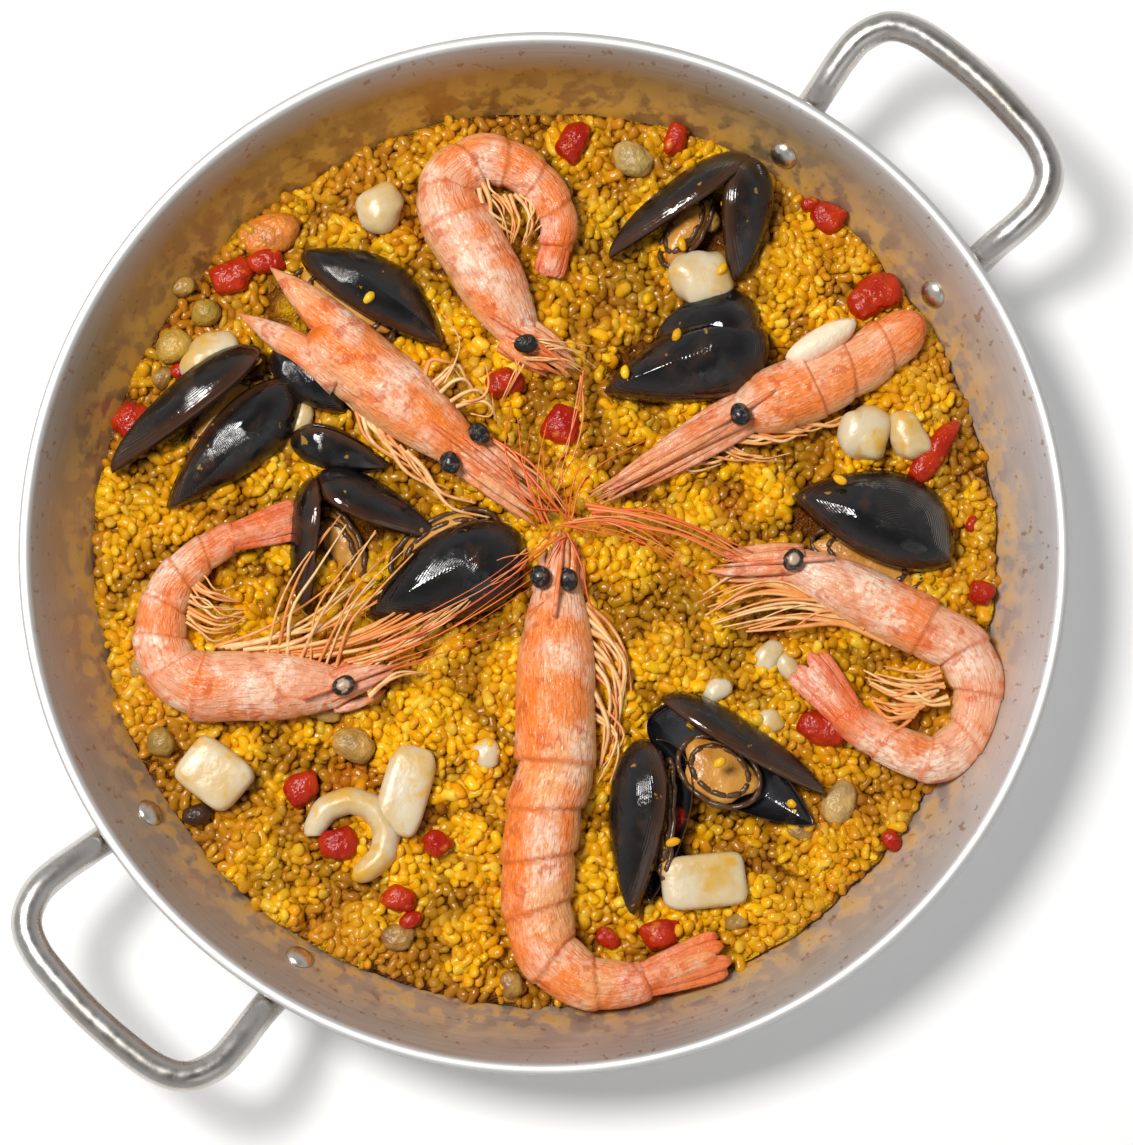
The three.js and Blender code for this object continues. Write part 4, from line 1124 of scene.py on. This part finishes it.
MUSSELS = [
    {"at": (-86, 105), "z": 28.5, "turn": -34, "length": 60, "width": 26, "depth": 10,
     "form": (1.0, 0.66, 0.3), "valves": [(1.0, -24, 0, 1, 0.5, 1), (0.98, -8, 0, -3, -3, -1)],
     "meat": (0.38, -6, 0, -20, 0.6, 0.6, 4)},
    {"at": (-96, 68), "z": 28.5, "turn": 224, "length": 68, "width": 25, "depth": 11,
     "valves": [(1.0, 64, -4, -4, 2, 1), (0.92, -26, 2, 11, 0, 1)],
     "meat": (0.36, 3, 0, 20, 0.5, 0.5, 5)},
    {"at": (-95, 72), "z": 27, "turn": -42, "length": 34, "width": 20, "depth": 8,
     "valves": closed(0, 0), "meat": None},
    {"at": (-89, 40), "z": 26, "turn": -14, "length": 36, "width": 17, "depth": 7,
     "valves": closed(48, 0), "meat": None},
    {"at": (-80, 27), "z": 28, "turn": -60, "length": 49, "width": 25, "depth": 8,
     "valves": pair(76, 64), "meat": (0.5, -4, -3, 30, 0.5, 0.5, 4)},
    {"at": (-8, 6), "z": 28.5, "turn": 208, "length": 61, "width": 33, "depth": 12,
     "valves": closed(2, -1), "meat": (0.42, -9, 0, 0, 0.6, 0.55, 4)},
    {"at": (73, 140), "z": 29, "turn": 238, "length": 62, "width": 25, "depth": 10,
     "valves": pair(74, 44, 0.72), "meat": (0.55, -6, -1, 20, 0.42, 0.45, 4.5)},
    {"at": (78, 77), "z": 28.5, "turn": 200, "length": 61, "width": 29, "depth": 12,
     "valves": closed(0, 0) + [(0.62, 48, -4, -9, -4, 1)], "meat": None},
    {"at": (141, -5), "z": 28.5, "turn": 157, "length": 60, "width": 35, "depth": 12,
     "form": (0.8, 0.3, 0.7), "valves": [(1.0, 14, 0, -1, 1, 1), (1.04, 0, 0, 6, -3, -1)],
     "meat": (0.46, 9, -2, 0, 0.6, 0.4, 3)},
    {"at": (37, -56), "z": 32.5, "turn": -33, "length": 68, "width": 28, "depth": 8.5,
     "valves": [(1.0, -6, 0, -2, 0, -1), (0.97, -72, 2, 6, -2, 1)],
     "meat": (0.45, -4.5, -1, -8, 0.4, 0.7, 3)},
    {"at": (36, -65), "z": 30, "turn": 267, "length": 61, "width": 25, "depth": 10,
     "valves": [(1.0, 46, 0, -2, 0, 1), (0.92, 26, 0, 3, 0, -1)],
     "meat": (0.45, 7.5, 2.5, 38, 0.6, 0.2, 2.2)},
]


VALVE_FORM = (0.62, 0.56, 0.44)


def valve_edge(length, width, turns, form):
    """The outline: how far along each side is widest, and each side's share of the width."""
    peak, left, right = form
    share = (1 - np.cos(turns)) / 2
    belly = np.clip(np.sin(np.pi * share**peak), 0, None) ** 0.8
    straight = np.clip(np.sin(np.pi * share**0.75), 0, None) ** 0.7
    return length * share, width * np.where(np.sin(turns) >= 0, left * belly, -right * straight)


def valve_rings(length, width, depth, form):
    """Rings of one closed valve: from the crown out to the edge and back along the inside."""
    turns = 2 * np.pi * (np.arange(56) + 0.5) / 56
    edge_x, edge_y = valve_edge(length, width, turns, form)
    crown = 0.36 * length
    rings, share_at, inside = [], [], []
    for share in (0.03, 0.15, 0.3, 0.45, 0.58, 0.7, 0.8, 0.88, 0.94, 0.98, 1.0):
        ripple = 1 + 0.006 * np.sin(34 * share) + 0.004 * np.sin(7 * turns + 9 * share)
        z = depth * (1 - share**2.3) ** 0.55 * ripple if share < 1 else 0 * turns
        rings.append(np.stack([crown + (edge_x - crown) * share, edge_y * share, z], -1))
        share_at.append(share)
        inside.append(0)
    for share in (0.975, 0.93, 0.85, 0.7, 0.5, 0.25, 0.03):
        z = (depth - 1.3) * (1 - (share / 0.985) ** 2.3) ** 0.6 + 0 * turns
        rings.append(np.stack([crown + (edge_x - crown) * share, edge_y * share, z], -1))
        share_at.append(share)
        inside.append(1)
    return np.array(rings), share_at, inside


def mussel_place(rings, mussel, roll, turn=0.0, side=0.0, up=0.0):
    """From a valve's own axes, hinge line along Y, to the plan of the food."""
    p = rings.reshape(-1, 3).copy()
    r, t = math.radians(roll), math.radians(mussel["turn"] + turn)
    p[:, 1], p[:, 2] = (p[:, 1] * math.cos(r) - p[:, 2] * math.sin(r) + side,
                        p[:, 1] * math.sin(r) + p[:, 2] * math.cos(r) + up)
    p[:, 0], p[:, 1] = (p[:, 0] * math.cos(t) - p[:, 1] * math.sin(t) + mussel["at"][0],
                        p[:, 0] * math.sin(t) + p[:, 1] * math.cos(t) + mussel["at"][1])
    p[:, 2] += mussel["z"]
    return laid(p).reshape(rings.shape)


mussel_shell, tree, shader = surface("mussel_shell", Roughness=0.2, Specular_IOR_Level=0.6)
share, kind = attribute(tree, "share"), attribute(tree, "kind")
place = node(tree, "ShaderNodeTexCoord").outputs["Object"]
waver = node(tree, "ShaderNodeTexNoise", {"Vector": place, "Scale": 60.0, "Detail": 3.0})
lines = math_node(tree, "ADD", math_node(tree, "MULTIPLY", share, 170.0),
                  math_node(tree, "MULTIPLY", waver.outputs["Fac"], 16.0))
lines = between(tree, math_node(tree, "SINE", lines), -1.0, 1.0)
broken = math_node(tree, "MULTIPLY", lines, patches(tree, 90.0, 0.4, 0.6, detail=4.0))
outer = ramp(tree, share, [(0, (0.01, 0.009, 0.01)), (0.55, (0.005, 0.005, 0.006)),
                           (0.84, (0.009, 0.006, 0.005)), (1, (0.06, 0.022, 0.008))])
outer = stained(tree, outer, broken, 0.2, (0.07, 0.055, 0.04))
outer = stained(tree, outer, patches(tree, 110.0, 0.57, 0.7, detail=6.0), 0.25, (0.1, 0.034, 0.008))
outer = stained(tree, outer, patches(tree, 200.0, 0.69, 0.72, detail=4.0), 0.8, (0.4, 0.2, 0.015))
inner = ramp(tree, share, [(0, (0.12, 0.11, 0.11)), (0.5, (0.05, 0.05, 0.055)),
                           (0.75, (0.014, 0.013, 0.015)), (1, (0.008, 0.006, 0.007))])
painted(tree, shader, blend(tree, kind, outer, inner))
rough = between(tree, patches(tree, 90.0, 0.35, 0.7, detail=5.0), 0.0, 1.0, 0.07, 0.2)
tree.links.new(rough, shader.inputs["Roughness"])
relief = math_node(tree, "ADD", broken, math_node(
    tree, "MULTIPLY", patches(tree, 120.0, 0.3, 0.7, detail=4.0), 3.0))
bumped(tree, shader, relief, 0.00007, 0.9)

mussel_meat, tree, shader = surface("mussel_meat", Roughness=0.3)
meat = blend(tree, patches(tree, 150.0, 0.35, 0.65, detail=4.0), (0.5, 0.19, 0.02), (0.66, 0.33, 0.07))
meat = stained(tree, meat, attribute(tree, "frill"), 0.92, (0.05, 0.02, 0.01))
painted(tree, shader, meat)
bumped(tree, shader, patches(tree, 260.0, 0.3, 0.7), 0.0003)


def meat_rings(mussel, frill):
    """The body of the meat, a closed lump, or one wavy ring of its frill."""
    along, side, up, roll, long, wide, tall = mussel["meat"]
    rx, ry = mussel["length"] * long / 2, mussel["width"] * wide / 2
    if frill:
        steps = 64
        t = 2 * np.pi * np.arange(steps + 1) / steps
        wave = 0.5 * np.sin(11 * t + frill) + 0.3 * np.sin(23 * t)
        reach = (1.12, 0.78)[frill - 1]
        level = wave + (tall * 0.55) * (frill - 1)
        path = np.stack([reach * rx * np.cos(t), reach * ry * np.sin(t), level], -1)
        rings = tube(np.hstack([path, np.full((steps + 1, 2), 1.0)]), 8, (0, 0, 1))
        rings = rings[:-1]
    else:
        rise = np.linspace(-1.45, 1.45, 14)[:, None]
        t = (2 * np.pi * np.arange(24) / 24)[None, :]
        swell = 1 + 0.08 * np.sin(3 * t + 2 * rise) + 0.06 * np.sin(5 * t)
        rings = np.stack(np.broadcast_arrays(rx * swell * np.cos(rise) * np.cos(t),
                                             ry * swell * np.cos(rise) * np.sin(t),
                                             tall * np.sin(rise) + 0 * t), -1)
    rings = rings + np.array([along * mussel["length"], 0, 0])
    return mussel_place(rings, mussel, roll, 0, side, up)


def looped(rings):
    """Faces of a tube that closes on itself."""
    points, faces = rings_mesh(rings, closed_ends=False)
    steps, sides = rings.shape[:2]
    last = (steps - 1) * sides
    faces += [(last + s, last + (s + 1) % sides, (s + 1) % sides, s) for s in range(sides)]
    return points, faces


for i, mussel in enumerate(MUSSELS):
    parts = []
    for scale, roll, turn, side, up, way in mussel["valves"]:
        rings, share_at, inside = valve_rings(mussel["length"] * scale, mussel["width"], mussel["depth"],
                                              mussel.get("form", VALVE_FORM))
        rings = rings * np.array([1, 1, way])
        points, faces = rings_mesh(mussel_place(rings, mussel, roll, turn, side, up))
        shares = np.append(np.repeat(share_at, rings.shape[1]), [0, 0])
        kinds = np.append(np.repeat(inside, rings.shape[1]), [0, 1])
        parts.append((points, faces, {"share": shares, "kind": kinds}))
    points, faces, values = join(parts)
    show(f"mussel_valves_{i + 1}", within_wall(points), faces, mussel_shell, "mussel_shell",
         (f"mussel_{i + 1}",), **values)
    if mussel["meat"]:
        parts = [(*rings_mesh(meat_rings(mussel, 0)), {"frill": 0})]
        parts += [(*looped(meat_rings(mussel, k)), {"frill": 1}) for k in (1, 2)]
        points, faces, values = join(parts)
        show(f"mussel_meat_{i + 1}", within_wall(points), faces, mussel_meat, "mussel_shell", **values)


# ---------------------------------------------------------------- squid
# Thick white squid cut in blocks, with one curl cut across the body; satin, and stained
# yellow where the rice has touched it.
SQUID = [
    ((-114, -77), -38, 24, 20, 12, 4.5), ((-48, -83), 74, 31, 17, 10, 4), ((55, -114), 6, 29, 19, 13, 5),
    ((55, 97), 20, 21, 20, 13, 2.6), ((112, 42), 80, 20, 17, 13, 2.6), ((127, 41), -65, 19, 12, 11, 2.6),
    ((-58, 122), 40, 18, 16, 12, 2.2), ((-117, 69), 30, 22, 16, 12, 2.2),
]

squid, tree, shader = surface("squid", Roughness=0.32, Subsurface_Weight=0.35, Subsurface_Scale=0.004)
shader.inputs["Subsurface Radius"].default_value = (1, 0.8, 0.5)
flesh = blend(tree, patches(tree, 55.0, 0.45, 0.7, detail=4.0), (0.66, 0.55, 0.37), (0.6, 0.36, 0.06))
flesh = stained(tree, flesh, patches(tree, 170.0, 0.55, 0.68, detail=5.0), 0.8, (0.66, 0.36, 0.02))
painted(tree, shader, flesh)
bumped(tree, shader, patches(tree, 200.0, 0.3, 0.7, detail=3.0), 0.00014)

for i, (at, turn, long, wide, tall, square) in enumerate(SQUID):
    points, faces = ball((*at, RICE_LEVEL + 3), (long / 2, wide / 2, tall / 2), math.radians(turn),
                         rows=22, sides=48, square=square, seed=i, dent=0.11 if square < 3 else 0.02)
    show(f"squid_block_{i + 1}", within_wall(points), faces, squid, "squid", (f"squid_{i + 1}",))

turns = np.radians(np.linspace(178, 178 - 262, 60))
ease = 1 - 0.4 * np.abs(np.linspace(-1, 1, 60)) ** 6
wobble = 1 + 0.015 * np.sin(9 * turns)
curl = np.stack([-67 + 12.5 * np.cos(turns) * wobble, -99 + 12.5 * np.sin(turns) * wobble,
                 np.full(60, RICE_LEVEL + 3.0), 4.75 * ease * wobble, 5.0 * ease], -1)
rings = tube(curl, 24, (0, 0, 1))
points, faces = laid_mesh(rings)
show("squid_curl", points, faces, squid, "squid", ("squid_ring",))


# ---------------------------------------------------------------- peppers
# Seventeen pieces of diced red pepper, soft and glossy and half sunk in the rice. They are
# cut by hand, so no two have the same size or corners.
PEPPERS = [
    ((10, 146), 60, 14, 11), ((46, 147), 80, 12, 8), ((100, 119), -30, 13, 10), ((116, 91), 25, 19, 14),
    ((136, 35), 58, 25, 9), ((152, -14), -20, 9.5, 8), ((97, -61), -15, 17, 13), ((-14, 60), 20, 13, 10),
    ((6, 45), 70, 15, 12), ((-110, 98), 15, 15, 12), ((-98, 103), 10, 13, 9), ((-144.5, 46.5), 50, 14, 11),
    ((-84, -82), 25, 12.5, 11), ((-71, -101), 10, 13, 12), ((-37, -101), 45, 9.5, 9),
    ((-50, -120), -25, 12, 9), ((40, -132), 15, 13, 11),
]

pepper, tree, shader = surface("pepper", Roughness=0.16, Specular_IOR_Level=0.3)
flesh = blend(tree, patches(tree, 110.0, 0.35, 0.7, detail=4.0), (0.34, 0.007, 0.001), (0.5, 0.035, 0.003))
flesh = stained(tree, flesh, patches(tree, 200.0, 0.6, 0.72, detail=4.0), 0.6, (0.7, 0.22, 0.02))
painted(tree, shader, flesh)
bumped(tree, shader, patches(tree, 300.0, 0.3, 0.7, detail=4.0), 0.0006)

for i, (at, turn, long, wide) in enumerate(PEPPERS):
    points, faces = ball((*at, RICE_LEVEL + 1.2), (long / 2, wide / 2, 4.7), math.radians(turn),
                         rows=18, sides=40, square=2.8, seed=2 * i + 1, dent=0.12)
    show(f"pepper_dice_{i + 1}", within_wall(points), faces, pepper, "pepper", (f"pepper_{i + 1}",))


# ---------------------------------------------------------------- beans
# Eight beans and other cooked vegetables, from pale to nearly black, half sunk in the rice.
# Each has its own colour, mottled darker.
BEANS = [
    ((-97, 113), 12, 22, 15, (0.72, 0.22, 0.025)), ((-119, 85), 0, 10, 10, (0.4, 0.24, 0.03)),
    ((-130, 73), 40, 13, 12, (0.56, 0.33, 0.05)), ((31, 140), -20, 15, 12, (0.5, 0.33, 0.1)),
    ((-133, -66), 0, 10, 10, (0.42, 0.25, 0.05)), ((-120, -91), 12, 11, 7, (0.05, 0.018, 0.008)),
    ((102, -87), 60, 16, 11, (0.58, 0.36, 0.12)), ((-66, -67), -30, 15, 12, (0.55, 0.3, 0.06)),
]

for i, (at, turn, long, wide, color) in enumerate(BEANS):
    bean, tree, shader = surface(f"bean_{i + 1}_skin", Roughness=0.28)
    skin = blend(tree, patches(tree, 130.0, 0.4, 0.65, detail=4.0), color, tuple(c * 0.6 for c in color))
    painted(tree, shader, skin)
    bumped(tree, shader, patches(tree, 330.0, 0.3, 0.7, detail=4.0), 0.0006)
    points, faces = ball((*at, RICE_LEVEL + 1), (long / 2, wide / 2, 4.5), math.radians(turn),
                         rows=18, sides=36, square=2.2, seed=i, dent=0.07)
    show(f"bean_body_{i + 1}", within_wall(points), faces, bean, "bean", (f"bean_{i + 1}",))


# ---------------------------------------------------------------- scraps
# Scraps too small to be parts of their own: bits of red pepper, of pale squid and of browned
# vegetable, and a few loose grains that stick to what lies on the rice.
SCRAPS = [
    ((93.7, 124.2), 3.5, 2.5, "red"), ((148.8, 10.1), 3, 2, "red"), ((21.9, -133.5), 4.5, 3.5, "red"),
    ((-46.1, -127.3), 4.2, 3, "red"), ((45.8, -92.7), 5, 4, "red"), ((-127.4, 64.4), 4, 3, "red"),
    ((77, 50), 3, 2, "red"), ((33, 4), 2.6, 1.6, "red"), ((78, -36), 6, 4.5, "pale"),
    ((85, -40), 6.5, 3.6, "pale"), ((78, -59), 5, 4.2, "pale"), ((-11.3, -149.5), 5, 3.8, "brown"),
    ((-50.5, -133.2), 6, 4.5, "brown"), ((-85, 47.4), 6, 4, "pale"), ((88, -96), 5, 4, "brown"),
    ((60, -48), 5, 4, "pale"), ((-20, -70), 5.5, 4.5, "pale"), ((-75, -55), 5, 4, "brown"),
    ((58, 118), 4.5, 3.6, "brown"), ((-128, 95), 5, 4, "brown"), ((-134, 62), 4, 3.4, "brown"),
    ((120, -100), 4, 3.2, "red"), ((66, -128), 4, 3, "brown"), ((-140, -40), 5, 4, "brown"),
]
SCRAP_SKINS = {"red": pepper, "pale": squid}
brown_scrap, tree, shader = surface("brown_scrap", Roughness=0.35)
painted(tree, shader, blend(tree, patches(tree, 140.0, 0.4, 0.65), (0.42, 0.24, 0.05), (0.24, 0.1, 0.02)))
bumped(tree, shader, patches(tree, 300.0, 0.3, 0.7), 0.0006)
SCRAP_SKINS["brown"] = brown_scrap
LOOSE = [(-133, 38), (-112, 60), (-101, 66), (-107, 33), (-20, -2), (-24, 5), (-61, 88), (105.9, 29.3),
         (116.2, 27.6), (102.4, 24.1), (46, 75), (60, 74), (28, 62), (64, 122), (48, 108), (44, -101),
         (36, -84), (60, -74), (76, -90), (62, 99), (-40, 8)]
loose = []
for k, (x, y) in enumerate(LOOSE):
    above = Vector(laid((x, y, 80))[0])
    hit = overhead.ray_cast(above, Vector((0, 0, -1)), 0.06)[0]
    z = hit.z * 1000 if hit else float(rice_height(np.array(x), np.array(y)))
    loose.append((*ball((x, y, z + 0.9), (2.6, 1.6, 1.5), k * 1.7, rows=8, sides=12, seed=k, dent=0.08),
                  {"tone": 0.2 + 0.75 * (k % 7) / 7, "rise": 1, "sauce": 0}))
points, faces, values = join(loose)
show("loose_grains", points, faces, rice_grain, "rice", **values)

for color, slot in (("red", "pepper"), ("pale", "squid"), ("brown", "bean")):
    parts = []
    for k, ((x, y), long, wide, kind) in enumerate(SCRAPS):
        if kind == color:
            z = rice_height(np.array(x), np.array(y)) + 0.8
            parts.append((*ball((x, y, z), (long, wide, 3), k * 1.3, rows=12, sides=24,
                                square=2.4, seed=k, dent=0.1), {}))
    points, faces, _ = join(parts)
    show(f"scraps_{color}", within_wall(points), faces, SCRAP_SKINS[color], slot)
